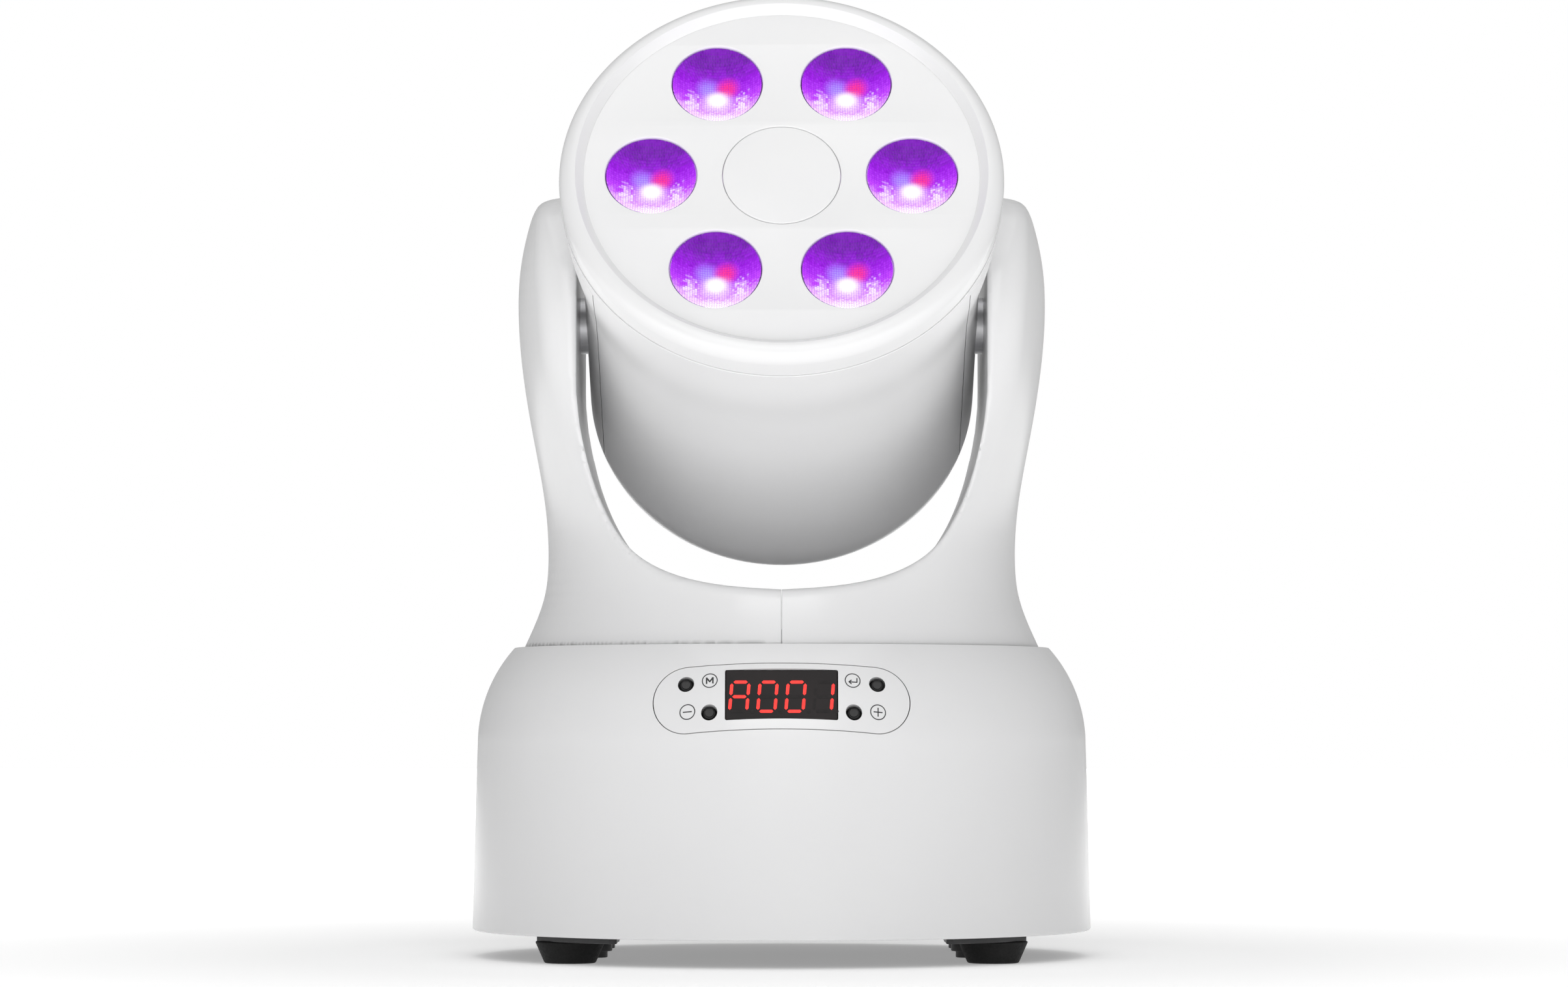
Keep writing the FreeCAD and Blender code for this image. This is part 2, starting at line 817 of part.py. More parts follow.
def yoke_base_plate():
    plate = rod(69.0, YOKE_PLATE_Z, YOKE_PLATE_Z + YOKE_PLATE_H)
    plate = plate.cut(rod(SHAFT_R, 70, 100))
    for x, y in flange_screw_places() + yoke_screw_places():
        plate = plate.cut(rod(1.6, 80, 100, x, y))
    return plate


def flange_screw_places():
    return [(19 * math.cos(math.radians(t)), 19 * math.sin(math.radians(t))) for t in (45, 135, 225, 315)]


def yoke_screw_places():
    return [(62 * math.cos(math.radians(t)), 62 * math.sin(math.radians(t))) for t in (50, 130, 230, 310)]


def yoke_screws():
    screws = []
    for x, y in flange_screw_places():
        screws.append(rod(1.5, YOKE_PLATE_Z, 92, x, y).fuse(rod(2.8, 92, 94, x, y)))
    for x, y in yoke_screw_places():
        head_low = YOKE_PLATE_Z + YOKE_PLATE_H
        screws.append(rod(1.5, YOKE_PLATE_Z, 94, x, y).fuse(rod(2.8, head_low, head_low + 1.6, x, y)))
    return group(screws)


def pan_shaft():
    top = YOKE_PLATE_Z + YOKE_PLATE_H
    shaft = rod(SHAFT_R, 62, 92).fuse(rod(25, top, 92))
    shaft = shaft.cut(rod(SHAFT_BORE_R, 50, 100))
    for x, y in flange_screw_places():
        shaft = shaft.cut(rod(1.6, 80, 100, x, y))
    return shaft


def pan_bearing_inner():
    return tube(12.3, SHAFT_R, 79, 84.5)


def pan_pulley():
    pulley = toothed_pulley(PAN_PULLEY_R, PAN_PULLEY_H, 60, SHAFT_R)
    pulley.translate(vec(0, 0, PAN_PULLEY_Z))
    return pulley


def along_x(shape, x, z):
    """Turns a shape standing on Z so that it points along +X, and puts its foot at x."""
    placed = shape.copy()
    placed.rotate(ORIGIN, Y_AXIS, 90)
    placed.translate(vec(x, 0, z))
    return placed


def tilt_motor():
    body = rod_x(TILT_MOTOR_R, 50.2, 59.4, 0, TILT_MOTOR_Z)
    ears = box((58.2, -19, TILT_MOTOR_Z - 3), (59.4, 19, TILT_MOTOR_Z + 3))
    return body.fuse(ears).cut(rod_x(2.1, 52, 62, 0, TILT_MOTOR_Z))


def tilt_drive_pulley():
    """The motor's small pulley with the shaft that it is pressed on."""
    pulley = rod_x(TILT_DRIVE_R, BELT_X, BELT_X + BELT_W, 0, TILT_MOTOR_Z)
    return pulley.fuse(rod_x(2.0, 54, BELT_X + BELT_W, 0, TILT_MOTOR_Z))


def tilt_belt():
    loop = belt(TILT_DRIVE_R, TILT_PULLEY_R, TILT_Z - TILT_MOTOR_Z, BELT_W - 0.2)
    loop.rotate(ORIGIN, Y_AXIS, -90)
    loop.translate(vec(BELT_X + BELT_W - 0.1, 0, TILT_MOTOR_Z))
    return loop


def tilt_bearing(side):
    ring = rod_x(12.0, BEARING_IN, BEARING_OUT, 0, TILT_Z)
    ring = ring.cut(rod_x(TILT_SHAFT_R + 0.05, 50, 70, 0, TILT_Z))
    if side < 0:
        ring = mirrored(ring)
    return ring


# ---------------------------------------------------------------- head


def in_head(shape):
    """Moves a shape from the head's own frame (beam along -Y, tilt axis at the origin) to its place."""
    placed = shape.copy()
    placed.rotate(ORIGIN, X_AXIS, -HEAD_TILT)
    placed.translate(vec(0, 0, TILT_Z))
    return placed


def at_depth(depth):
    return depth - AXIS_DEPTH


def turned(points):
    """A solid turned about the beam axis, from (radius, depth) points."""
    return lathe([(r, at_depth(depth)) for r, depth in points], Y_AXIS)


def head_side():
    """Points (radius, depth) of the head's outside, from the ring to the waist."""
    flare = [(60.2, 12.0), (59.3, 20.0), (58.4, 26.0), (57.3, 32.0), (56.4, 38.0), (55.9, 44.0)]
    return [(HEAD_R - 0.2, RING_BACK + 0.2)] + flare + [(WAIST_R + 0.1, 50.0), (WAIST_R, 60.0)]


def head_solid(inset):
    """The barrel: wide behind the ring, a waist between the arms and a rounded tail."""
    side = [vec(r - inset, at_depth(depth), 0) for r, depth in head_side()]
    front = side[0]
    if inset:
        front = vec(side[0].x, at_depth(0), 0)
    tail_r = TAIL_ROUND - inset
    centre_r = WAIST_R - TAIL_ROUND
    centre_y = at_depth(HEAD_LENGTH - TAIL_ROUND)
    tail_start = vec(centre_r + tail_r, centre_y, 0)
    bend = math.sqrt(0.5)
    tail_mid = vec(centre_r + tail_r * bend, centre_y + tail_r * bend, 0)
    tail_end = vec(centre_r, centre_y + tail_r, 0)
    edges = [spline(side)] if not inset else [line(front, side[0]), spline(side)]
    edges += [
        line(side[-1], tail_start),
        arc(tail_start, tail_mid, tail_end),
        line(tail_end, vec(0, tail_end.y, 0)),
        line(vec(0, tail_end.y, 0), vec(0, front.y, 0)),
        line(vec(0, front.y, 0), front),
    ]
    return face_of(edges).revolve(ORIGIN, Y_AXIS, 360)


def cover_box(ease):
    low = (COVER_X + ease, at_depth(COVER_FRONT) + ease, -40 + ease)
    high = (80, at_depth(COVER_BACK) - ease, 40 - ease)
    return box(low, high)


def head_skin():
    return head_solid(0).cut(head_solid(WALL))


def vent_slots():
    """The slots of the round grille in the tail."""
    slots = []
    for i in range(-5, 6):
        half = math.sqrt(26.0**2 - (i * 4.4) ** 2)
        low = (-half, at_depth(HEAD_LENGTH - 8), i * 4.4 - 1.1)
        slots.append(box(low, (half, at_depth(HEAD_LENGTH + 5), i * 4.4 + 1.1)))
    return group(slots)


def head_shell(side):
    """The upper (+1) or lower (-1) half of the barrel, open at the side covers and the tail grille."""
    half = box((-90, -90, 0), (90, 90, 90))
    if side < 0:
        half = box((-90, -90, -90), (90, 90, 0))
    shell = head_skin().common(half)
    shell = shell.cut(cover_box(0)).cut(mirrored(cover_box(0)))
    shell = shell.cut(rod_y(28.0, at_depth(HEAD_LENGTH - 8), at_depth(HEAD_LENGTH + 5)))
    return in_head(shell)


def tail_grille():
    disc = rod_y(28.0 - EASE, at_depth(HEAD_LENGTH - WALL), at_depth(HEAD_LENGTH))
    return in_head(disc.cut(vent_slots()))


def side_cover(side):
    cover = head_skin().common(cover_box(EASE))
    cover = cover.cut(rod_x(TILT_SHAFT_R + 0.3, 40, 70))
    if side < 0:
        cover = mirrored(cover)
    return in_head(cover)


def front_ring():
    front = at_depth(-RING_PROUD)
    back = at_depth(RING_BACK)
    face = at_depth(0)
    bend = RING_ROUND * (1 - math.sqrt(0.5))
    pocket_r = HEAD_R - 3.0
    round_end = vec(HEAD_R, front + RING_ROUND, 0)
    round_start = vec(HEAD_R - RING_ROUND, front, 0)
    edges = [
        line(vec(HEAD_R, back, 0), round_end),
        arc(round_end, vec(HEAD_R - bend, front + bend, 0), round_start),
        line(round_start, vec(FACE_R + RING_PROUD, front, 0)),
        line(vec(FACE_R + RING_PROUD, front, 0), vec(FACE_R, face, 0)),
        line(vec(FACE_R, face, 0), vec(pocket_r, face, 0)),
        line(vec(pocket_r, face, 0), vec(pocket_r, back, 0)),
        line(vec(pocket_r, back, 0), vec(HEAD_R, back, 0)),
    ]
    return in_head(face_of(edges).revolve(ORIGIN, Y_AXIS, 360))


def lens_places():
    places = []
    for i in range(LENS_COUNT):
        turn = math.radians(360.0 * i / LENS_COUNT)
        places.append((LENS_PITCH_R * math.cos(turn), LENS_PITCH_R * math.sin(turn)))
    return places


def face_plate():
    plate = turned([(0, 0), (57.6, 0), (57.6, 2.4), (0, 2.4)])
    for x, z in lens_places():
        plate = plate.cut(rod_y(LENS_R, at_depth(-5), at_depth(10), x, z))
    plate = plate.cut(rod_y(CAP_DISC_R, at_depth(-5), at_depth(1.2)))
    return in_head(plate)


def centre_cap():
    edge = 0.3
    radius = CAP_DISC_R - EASE
    disc = turned([(0, 0), (radius - edge, 0), (radius, edge), (radius, 1.2), (0, 1.2)])
    return in_head(disc)


def lenses():
    """Six collimators: a flat front, a flange behind the face plate, a cone and a hollow for the LED."""
    front = [(0, 0.9), (12.3, 0.9), (12.3, 2.5), (13.6, 2.5), (13.6, 3.6)]
    cone = [(12.0, 4.4), (9.6, 9.0), (5.4, 14.4), (3.6, 14.4), (3.0, 11.0), (0, 10.2)]
    bodies = []
    for x, z in lens_places():
        body = turned(front + cone)
        body.translate(vec(x, 0, z))
        bodies.append(body)
    return in_head(group(bodies))


def led_emitters():
    chips = []
    for x, z in lens_places():
        base = box((x - 3, at_depth(15.4), z - 3), (x + 3, at_depth(16.4), z + 3))
        dome = Part.makeSphere(2.2, vec(x, at_depth(15.4), z)).common(
            box((x - 3, at_depth(12), z - 3), (x + 3, at_depth(15.4), z + 3))
        )
        chips.append(base.fuse(dome))
    return in_head(group(chips))


def led_board():
    board = turned([(0, 16.4), (54, 16.4), (54, 18.0), (0, 18.0)])
    return in_head(board.cut(rod_y(4, at_depth(10), at_depth(30))))


def heat_sink():
    """A round aluminium sink with straight fins behind the LED board."""
    sink = turned([(0, 18.0), (52, 18.0), (52, 22.0), (0, 22.0)])
    for i in range(-7, 8):
        x = i * 6.4
        half = math.sqrt(50.0**2 - x**2)
        sink = sink.fuse(box((x - 0.8, at_depth(21), -half), (x + 0.8, at_depth(44), half)))
    return in_head(sink)


def fan_frame():
    """A 60 mm axial fan's frame, with its motor spider at the back."""
    low = at_depth(FAN_FRONT)
    high = at_depth(FAN_FRONT + FAN_DEPTH)
    frame = box((-30, low, -30), (30, high, 30)).cut(rod_y(28.3, low - 1, high + 1))
    for x in (-25, 25):
        for z in (-25, 25):
            frame = frame.cut(rod_y(2.1, low - 1, high + 1, x, z))
    spider = rod_y(12, high - 1.8, high)
    for turn in (45, 135):
        strut = box((-29, high - 1.8, -1.2), (29, high, 1.2))
        strut.rotate(ORIGIN, Y_AXIS, turn)
        spider = spider.fuse(strut)
    return in_head(frame.fuse(spider))


def fan_rotor():
    """The hub with seven pitched blades."""
    low = at_depth(FAN_FRONT) + 1.0
    high = at_depth(FAN_FRONT + FAN_DEPTH) - 2.6
    rotor = rod_y(12, low, high)
    for i in range(7):
        blade = box((9, -0.6, -5.2), (FAN_R, 0.6, 5.2))
        blade.rotate(ORIGIN, X_AXIS, 35)
        blade.translate(vec(0, (low + high) / 2, 0))
        blade.rotate(ORIGIN, Y_AXIS, 360.0 * i / 7)
        rotor = rotor.fuse(blade)
    return in_head(rotor)


def driver_board():
    board = box((-36, at_depth(92), -30), (36, at_depth(93.6), 30))
    parts = [board]
    parts.append(box((-28, at_depth(93.6), -20), (-8, at_depth(103), 0)))
    parts.append(box((4, at_depth(93.6), -4), (26, at_depth(98), 18)))
    return in_head(group(parts))


def tilt_shaft(side):
    """A hollow stub axle with a flange inside the side cover."""
    end = 63.8 if side > 0 else 62.5
    axle = rod_x(TILT_SHAFT_R, 44, end).fuse(rod_x(15, 46, 48.5)).cut(rod_x(5.5, 40, 70))
    if side < 0:
        axle = mirrored(axle)
    return in_head(axle)


def shaft_carrier():
    """The steel bridge across the head that both stub axles are bolted to."""
    low = at_depth(68)
    high = at_depth(82)
    bridge = box((-46, 9.0, -12), (46, 11.0, 12))
    for x in (-46, 44):
        bridge = bridge.fuse(box((x, low, -12), (x + 2, 11.0, 12)))
    bridge = bridge.cut(rod_x(TILT_SHAFT_R, -60, 60))
    return in_head(bridge.common(box((-60, low, -20), (60, high + 5, 20))))


def tilt_pulley():
    pulley = rod(TILT_PULLEY_R, 0, BELT_W).cut(rod(TILT_SHAFT_R, -1, 9))
    return in_head(along_x(pulley, BELT_X, 0))


def head_screws():
    screws = []
    for i in range(LENS_COUNT):
        turn = math.radians(360.0 * (i + 0.5) / LENS_COUNT)
        x = 48 * math.cos(turn)
        z = 48 * math.sin(turn)
        screws.append(rod_y(1.5, at_depth(2.4), at_depth(16.4), x, z))
    return in_head(group(screws))


def nodes():
    made = {
        "base_shell": base_shell(),
        "base_plate": base_plate(),
        "foot_rails": foot_rails(),
        "rubber_feet": rubber_feet(),
        "base_screws": base_screws(),
        "bracket_sockets": bracket_sockets(),
        "control_panel": control_panel(),
        "display_module": display_module(),
        "display_digits": display_digits(),
        "control_board": control_board(),
        "tact_switches": tact_switches(),
        "rear_panel": rear_panel(),
        "power_inlet": power_inlet(),
        "connector_pins": connector_pins(),
        "fuse_holder": fuse_holder(),
        "data_input": data_input(),
        "data_output": data_output(),
        "power_supply_board": power_supply_board(),
        "main_board": main_board(),
        "top_chassis": top_chassis(),
        "pan_bearing_outer": pan_bearing_outer(),
        "pan_motor": pan_motor(),
        "pan_drive_pulley": pan_drive_pulley(),
        "pan_belt": pan_belt(),
        "pan_shaft": pan_shaft(),
        "pan_bearing_inner": pan_bearing_inner(),
        "pan_pulley": pan_pulley(),
        "yoke_shell_left": yoke_half(-1),
        "yoke_shell_right": yoke_half(1),
        "yoke_base_plate": yoke_base_plate(),
        "yoke_screws": yoke_screws(),
        "tilt_motor": tilt_motor(),
        "tilt_drive_pulley": tilt_drive_pulley(),
        "tilt_belt": tilt_belt(),
        "tilt_bearing_left": tilt_bearing(-1),
        "tilt_bearing_right": tilt_bearing(1),
        "head_shell_upper": head_shell(1),
        "head_shell_lower": head_shell(-1),
        "tail_grille": tail_grille(),
        "side_cover_left": side_cover(-1),
        "side_cover_right": side_cover(1),
        "front_ring": front_ring(),
        "face_plate": face_plate(),
        "centre_cap": centre_cap(),
        "lenses": lenses(),
        "led_emitters": led_emitters(),
        "led_board": led_board(),
        "heat_sink": heat_sink(),
        "fan_frame": fan_frame(),
        "fan_rotor": fan_rotor(),
        "driver_board": driver_board(),
        "shaft_carrier": shaft_carrier(),
        "tilt_shaft_left": tilt_shaft(-1),
        "tilt_shaft_right": tilt_shaft(1),
        "tilt_pulley": tilt_pulley(),
        "head_screws": head_screws(),
    }
    for name, place in BUTTONS.items():
        made[name] = button_cap(place)
    return made


def main():
    os.makedirs("parts", exist_ok=True)
    for name, shape in nodes().items():
        shape.exportStep("parts/%s.step" % name)
        solids = len(shape.Solids)
        print("%-22s solids %2d valid %s volume %.1f" % (name, solids, shape.isValid(), shape.Volume))


main()
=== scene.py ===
import json
import math

import bmesh
import bpy
import numpy as np
from mathutils import Matrix, Vector


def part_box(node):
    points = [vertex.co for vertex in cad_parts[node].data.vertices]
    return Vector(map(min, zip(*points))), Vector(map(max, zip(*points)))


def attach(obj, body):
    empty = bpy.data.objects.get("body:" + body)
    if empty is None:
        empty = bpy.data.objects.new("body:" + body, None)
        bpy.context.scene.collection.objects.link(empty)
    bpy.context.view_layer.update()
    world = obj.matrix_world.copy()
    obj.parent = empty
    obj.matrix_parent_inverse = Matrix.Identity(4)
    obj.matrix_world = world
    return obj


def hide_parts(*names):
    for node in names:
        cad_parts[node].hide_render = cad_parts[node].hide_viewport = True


# A moving head light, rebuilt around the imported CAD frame.
# Shapes are worked out in millimetres and placed in metres: +X right, -Y front, +Z up.

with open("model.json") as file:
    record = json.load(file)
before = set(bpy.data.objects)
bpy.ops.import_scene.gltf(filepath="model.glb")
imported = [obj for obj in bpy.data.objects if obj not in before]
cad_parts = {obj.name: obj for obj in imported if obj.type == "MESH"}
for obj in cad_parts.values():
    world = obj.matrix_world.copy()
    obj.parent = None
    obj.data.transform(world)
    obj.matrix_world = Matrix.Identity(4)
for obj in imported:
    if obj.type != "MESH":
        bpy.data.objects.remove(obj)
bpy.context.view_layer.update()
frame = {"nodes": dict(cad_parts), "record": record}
scene = bpy.context.scene
MM = 0.001

# Base
BASE_BOTTOM = 7.5
BASE_R = 87.5
BASE_MID_R = 86.95
SHOULDER_Z = 60.0
SHOULDER_CENTRE_R = 45.7
SHOULDER_RADIUS = 40.5
RIM_R = 75.8
POCKET_R = 74.4
POCKET_Z = 85.5
POCKET_HOLE_R = 19.0
WALL = 2.5
SIDE_STEPS = 24
SHOULDER_STEPS = 36
REAR_Y = 74.0
REAR_W = 84.0
REAR_LOW = 13.0
REAR_HIGH = 66.0
FOOT_R = 9.65
FOOT_HOLE_R = 1.6
FOOT_H = 6.0

# Control panel, in its own frame: X across, Y up the panel, Z outwards
PANEL_Z = 73.3
PANEL_TILT = math.asin((PANEL_Z - SHOULDER_Z) / SHOULDER_RADIUS)
PANEL_R = SHOULDER_CENTRE_R + SHOULDER_RADIUS * math.cos(PANEL_TILT)
PANEL_W = 69.4
PANEL_H = 19.0
DISPLAY_W = 30.1
DISPLAY_H = 14.0
DISPLAY_V = 0.5
DISPLAY_SINK = 1.6
DIGIT_V = -0.07
CAP_R = 1.75
CAP_HOLE_R = 2.2
PRINT_LIFT = 0.03
BUTTONS = {
    "button_menu": ("menu_button", -25.7, 4.3),
    "button_down": ("down_button", -19.4, -4.2),
    "button_enter": ("enter_button", 25.7, 4.3),
    "button_up": ("up_button", 19.4, -4.2),
}

# Yoke
YOKE_BOTTOM = 86.6
YOKE_FOOT_TOP = 102.0
YOKE_TOP = 216.0
ARM_IN = 57.0
ARM_TOP_R = 37.0
TILT_Z = YOKE_TOP - ARM_TOP_R
YOKE_SIDE = [
    (73.3, 86.6), (70.4, 93.0), (67.3, 102.0), (66.3, 112.0), (67.4, 128.6), (70.5, 146.0),
    (73.5, 164.0), (74.9, 180.0), (74.5, 194.0), (72.2, 206.0), (68.5, 213.6), (63.0, 216.0),
]
YOKE_FLANK = [
    (37.0, 179.0), (37.4, 166.0), (39.4, 150.0), (44.5, 134.0), (53.0, 120.0), (64.0, 109.0), (76.0, 102.0),
]
YOKE_MOUTH = [
    (0.0, YOKE_FOOT_TOP), (17.0, 103.4), (31.0, 107.0), (40.9, 113.0), (47.3, 121.5), (51.6, 131.0),
    (54.9, 143.0), (ARM_IN, 158.0),
]
HEAD_SWEEP = [
    (56.5, 39.0), (54.6, 51.0), (47.9, 60.0), (37.9, 66.6), (27.0, 71.4), (14.0, 74.8), (0.0, 75.9),
]

# Head. Depths are measured back from the lens face along the beam.
HEAD_TILT = 28.8
AXIS_DEPTH = 75.0
HEAD_R = 60.8
WAIST_R = 55.5
FACE_R = 53.8
RING_PROUD = 2.5
RING_BACK = 7.4
RING_ROUND = 4.3
TAIL_ROUND = 26.0
HEAD_LENGTH = 134.0
TAIL_STEPS = 24
HEAD_SIDE = [
    (60.7, 7.6), (60.2, 12.0), (59.3, 20.0), (58.4, 26.0), (57.3, 32.0),
    (56.4, 38.0), (55.9, 44.0), (55.6, 50.0), (WAIST_R, 60.0),
]
LENS_R = 12.6
LENS_PITCH_R = 35.6
LENS_COUNT = 6
LENS_RIM_R = 12.25
FACET_PITCH = 0.82
FACE_DISC_R = 57.6
CAP_DISC_R = 16.2
COVER_X = 51.2
COVER_FRONT = 12.0
COVER_BACK = 116.0
COVER_HALF = 40.0
SHAFT_HOLE_R = 8.3
GRILLE_R = 28.0

# Studio
# Painted light: the floor's glow, faint close to the object to deepen the shade round it, full further out.
FLOOR_GLOW = (0.30, 1.0)
SURROUND = (0.52, 0.12)
CAMERA_LENS = 117.5
CAMERA_PLACE = (0.00065, -1.456, 0.0625)
CAMERA_RISE = 2.70

TO_PANEL = (
    Matrix.Translation((0, -PANEL_R * MM, PANEL_Z * MM))
    @ Matrix.Rotation(math.radians(90) - PANEL_TILT, 4, "X")
    @ Matrix.Scale(MM, 4)
)
TO_HEAD = (
    Matrix.Translation((0, 0, TILT_Z * MM))
    @ Matrix.Rotation(math.radians(-HEAD_TILT), 4, "X")
    @ Matrix.Scale(MM, 4)
)
TO_ROW = Matrix.Scale(MM, 4)


# ---------------------------------------------------------------- materials

def node(tree, kind, **values):
    made = tree.nodes.new(kind)
    for key, value in values.items():
        if key in made.inputs:
            made.inputs[key].default_value = value
        else:
            setattr(made, key, value)
    return made


def start_material(name):
    material = bpy.data.materials.new(name)
    material.use_nodes = True
    tree = material.node_tree
    tree.nodes.clear()
    out = tree.nodes.new("ShaderNodeOutputMaterial")
    shader = tree.nodes.new("ShaderNodeBsdfPrincipled")
    tree.links.new(shader.outputs["BSDF"], out.inputs["Surface"])
    coords = tree.nodes.new("ShaderNodeTexCoord")
    return material, tree, shader, coords.outputs["Object"]


def noise(tree, vector, scale, detail=2.0):
    made = node(tree, "ShaderNodeTexNoise", Scale=scale, Detail=detail)
    tree.links.new(vector, made.inputs["Vector"])
    return made.outputs["Fac"]


def remap(tree, value, start, end, low=0.0, high=1.0, interpolation="LINEAR"):
    made = tree.nodes.new("ShaderNodeMapRange")
    made.interpolation_type = interpolation
    for key, number in {"From Min": start, "From Max": end, "To Min": low, "To Max": high}.items():
        made.inputs[key].default_value = number
    tree.links.new(value, made.inputs["Value"])
    return made.outputs["Result"]


def spread(tree, value, low, high):
    """The middle of a noise value, stretched over a range."""
    return remap(tree, value, 0.3, 0.7, low, high)


def two_tone(tree, value, first, second):
    ramp = tree.nodes.new("ShaderNodeValToRGB")
    ramp.color_ramp.elements[0].position = 0.35
    ramp.color_ramp.elements[0].color = (*first, 1)
    ramp.color_ramp.elements[1].position = 0.65
    ramp.color_ramp.elements[1].color = (*second, 1)
    tree.links.new(value, ramp.inputs["Fac"])
    return ramp.outputs["Color"]


def bump(tree, shader, height, strength, distance):
    made = tree.nodes.new("ShaderNodeBump")
    made.inputs["Strength"].default_value = strength
    made.inputs["Distance"].default_value = distance
    tree.links.new(height, made.inputs["Height"])
    tree.links.new(made.outputs["Normal"], shader.inputs["Normal"])


def finish(name, first, second, rough, patch=30.0, grain=900.0, relief=0.0, metal=0.0, coat=0.0, ior=1.5):
    """A moulded, painted or machined surface: patchy colour, uneven gloss and a fine grain."""
    material, tree, shader, vector = start_material(name)
    shader.inputs["Metallic"].default_value = metal
    shader.inputs["IOR"].default_value = ior
    shader.inputs["Coat Weight"].default_value = coat
    shader.inputs["Coat Roughness"].default_value = 0.06
    tone = two_tone(tree, noise(tree, vector, patch, 3.0), first, second)
    tree.links.new(tone, shader.inputs["Base Color"])
    fine = noise(tree, vector, grain, 2.0)
    tree.links.new(spread(tree, fine, rough[0], rough[1]), shader.inputs["Roughness"])
    if relief:
        bump(tree, shader, fine, 0.5, relief)
    return material


def brushed(name, first, second, rough, along):
    """Metal with fine lines drawn along one axis."""
    material, tree, shader, vector = start_material(name)
    shader.inputs["Metallic"].default_value = 1.0
    stretch = tree.nodes.new("ShaderNodeMapping")
    stretch.inputs["Scale"].default_value = along
    tree.links.new(vector, stretch.inputs["Vector"])
    lines = noise(tree, stretch.outputs["Vector"], 60.0, 4.0)
    tree.links.new(two_tone(tree, lines, first, second), shader.inputs["Base Color"])
    tree.links.new(spread(tree, lines, rough[0], rough[1]), shader.inputs["Roughness"])
    bump(tree, shader, lines, 0.4, 0.00002)
    return material


def board_material():
    """Green lacquer over copper tracks."""
    material, tree, shader, vector = start_material("board_green")
    tracks = node(tree, "ShaderNodeTexVoronoi", Scale=260.0)
    tracks.distance = "CHEBYCHEV"
    tracks.feature = "DISTANCE_TO_EDGE"
    tree.links.new(vector, tracks.inputs["Vector"])
    ramp = tree.nodes.new("ShaderNodeValToRGB")
    ramp.color_ramp.interpolation = "CONSTANT"
    ramp.color_ramp.elements[0].color = (0.03, 0.17, 0.07, 1)
    ramp.color_ramp.elements[1].position = 0.12
    ramp.color_ramp.elements[1].color = (0.012, 0.10, 0.035, 1)
    tree.links.new(tracks.outputs["Distance"], ramp.inputs["Fac"])
    tree.links.new(ramp.outputs["Color"], shader.inputs["Base Color"])
    fine = noise(tree, vector, 700.0)
    tree.links.new(spread(tree, fine, 0.3, 0.45), shader.inputs["Roughness"])
    bump(tree, shader, tracks.outputs["Distance"], 0.3, 0.00003)
    return material


def lit_red(name, first, second, strength):
    """Red light diffused in the epoxy of a display segment."""
    material, tree, shader, vector = start_material(name)
    tone = two_tone(tree, noise(tree, vector, 900.0), first, second)
    tree.links.new(tone, shader.inputs["Base Color"])
    tree.links.new(tone, shader.inputs["Emission Color"])
    shader.inputs["Emission Strength"].default_value = strength
    shader.inputs["Roughness"].default_value = 0.4
    return material


def blob(tree, vector, centre, radii, soft):
    """1 in the middle of an ellipse in the lens's own plane, 0 outside it."""
    shift = node(tree, "ShaderNodeMapping")
    shift.vector_type = "TEXTURE"
    shift.inputs["Location"].default_value = (centre[0] * MM, 0, centre[1] * MM)
    shift.inputs["Scale"].default_value = (radii[0] * MM, 1000.0, radii[1] * MM)
    tree.links.new(vector, shift.inputs["Vector"])
    length = node(tree, "ShaderNodeVectorMath", operation="LENGTH")
    tree.links.new(shift.outputs["Vector"], length.inputs[0])
    return remap(tree, length.outputs["Value"], 1.0 - soft, 1.0, 1.0, 0.0, "SMOOTHSTEP")


def over(tree, factor, below, colour, amount=1.0):
    mix = tree.nodes.new("ShaderNodeMix")
    mix.data_type = "RGBA"
    weight = tree.nodes.new("ShaderNodeMath")
    weight.operation = "MULTIPLY"
    weight.inputs[1].default_value = amount
    tree.links.new(factor, weight.inputs[0])
    tree.links.new(weight.outputs["Value"], mix.inputs["Factor"])
    tree.links.new(below, mix.inputs["A"])
    mix.inputs["B"].default_value = (*colour, 1)
    return mix.outputs["Result"]


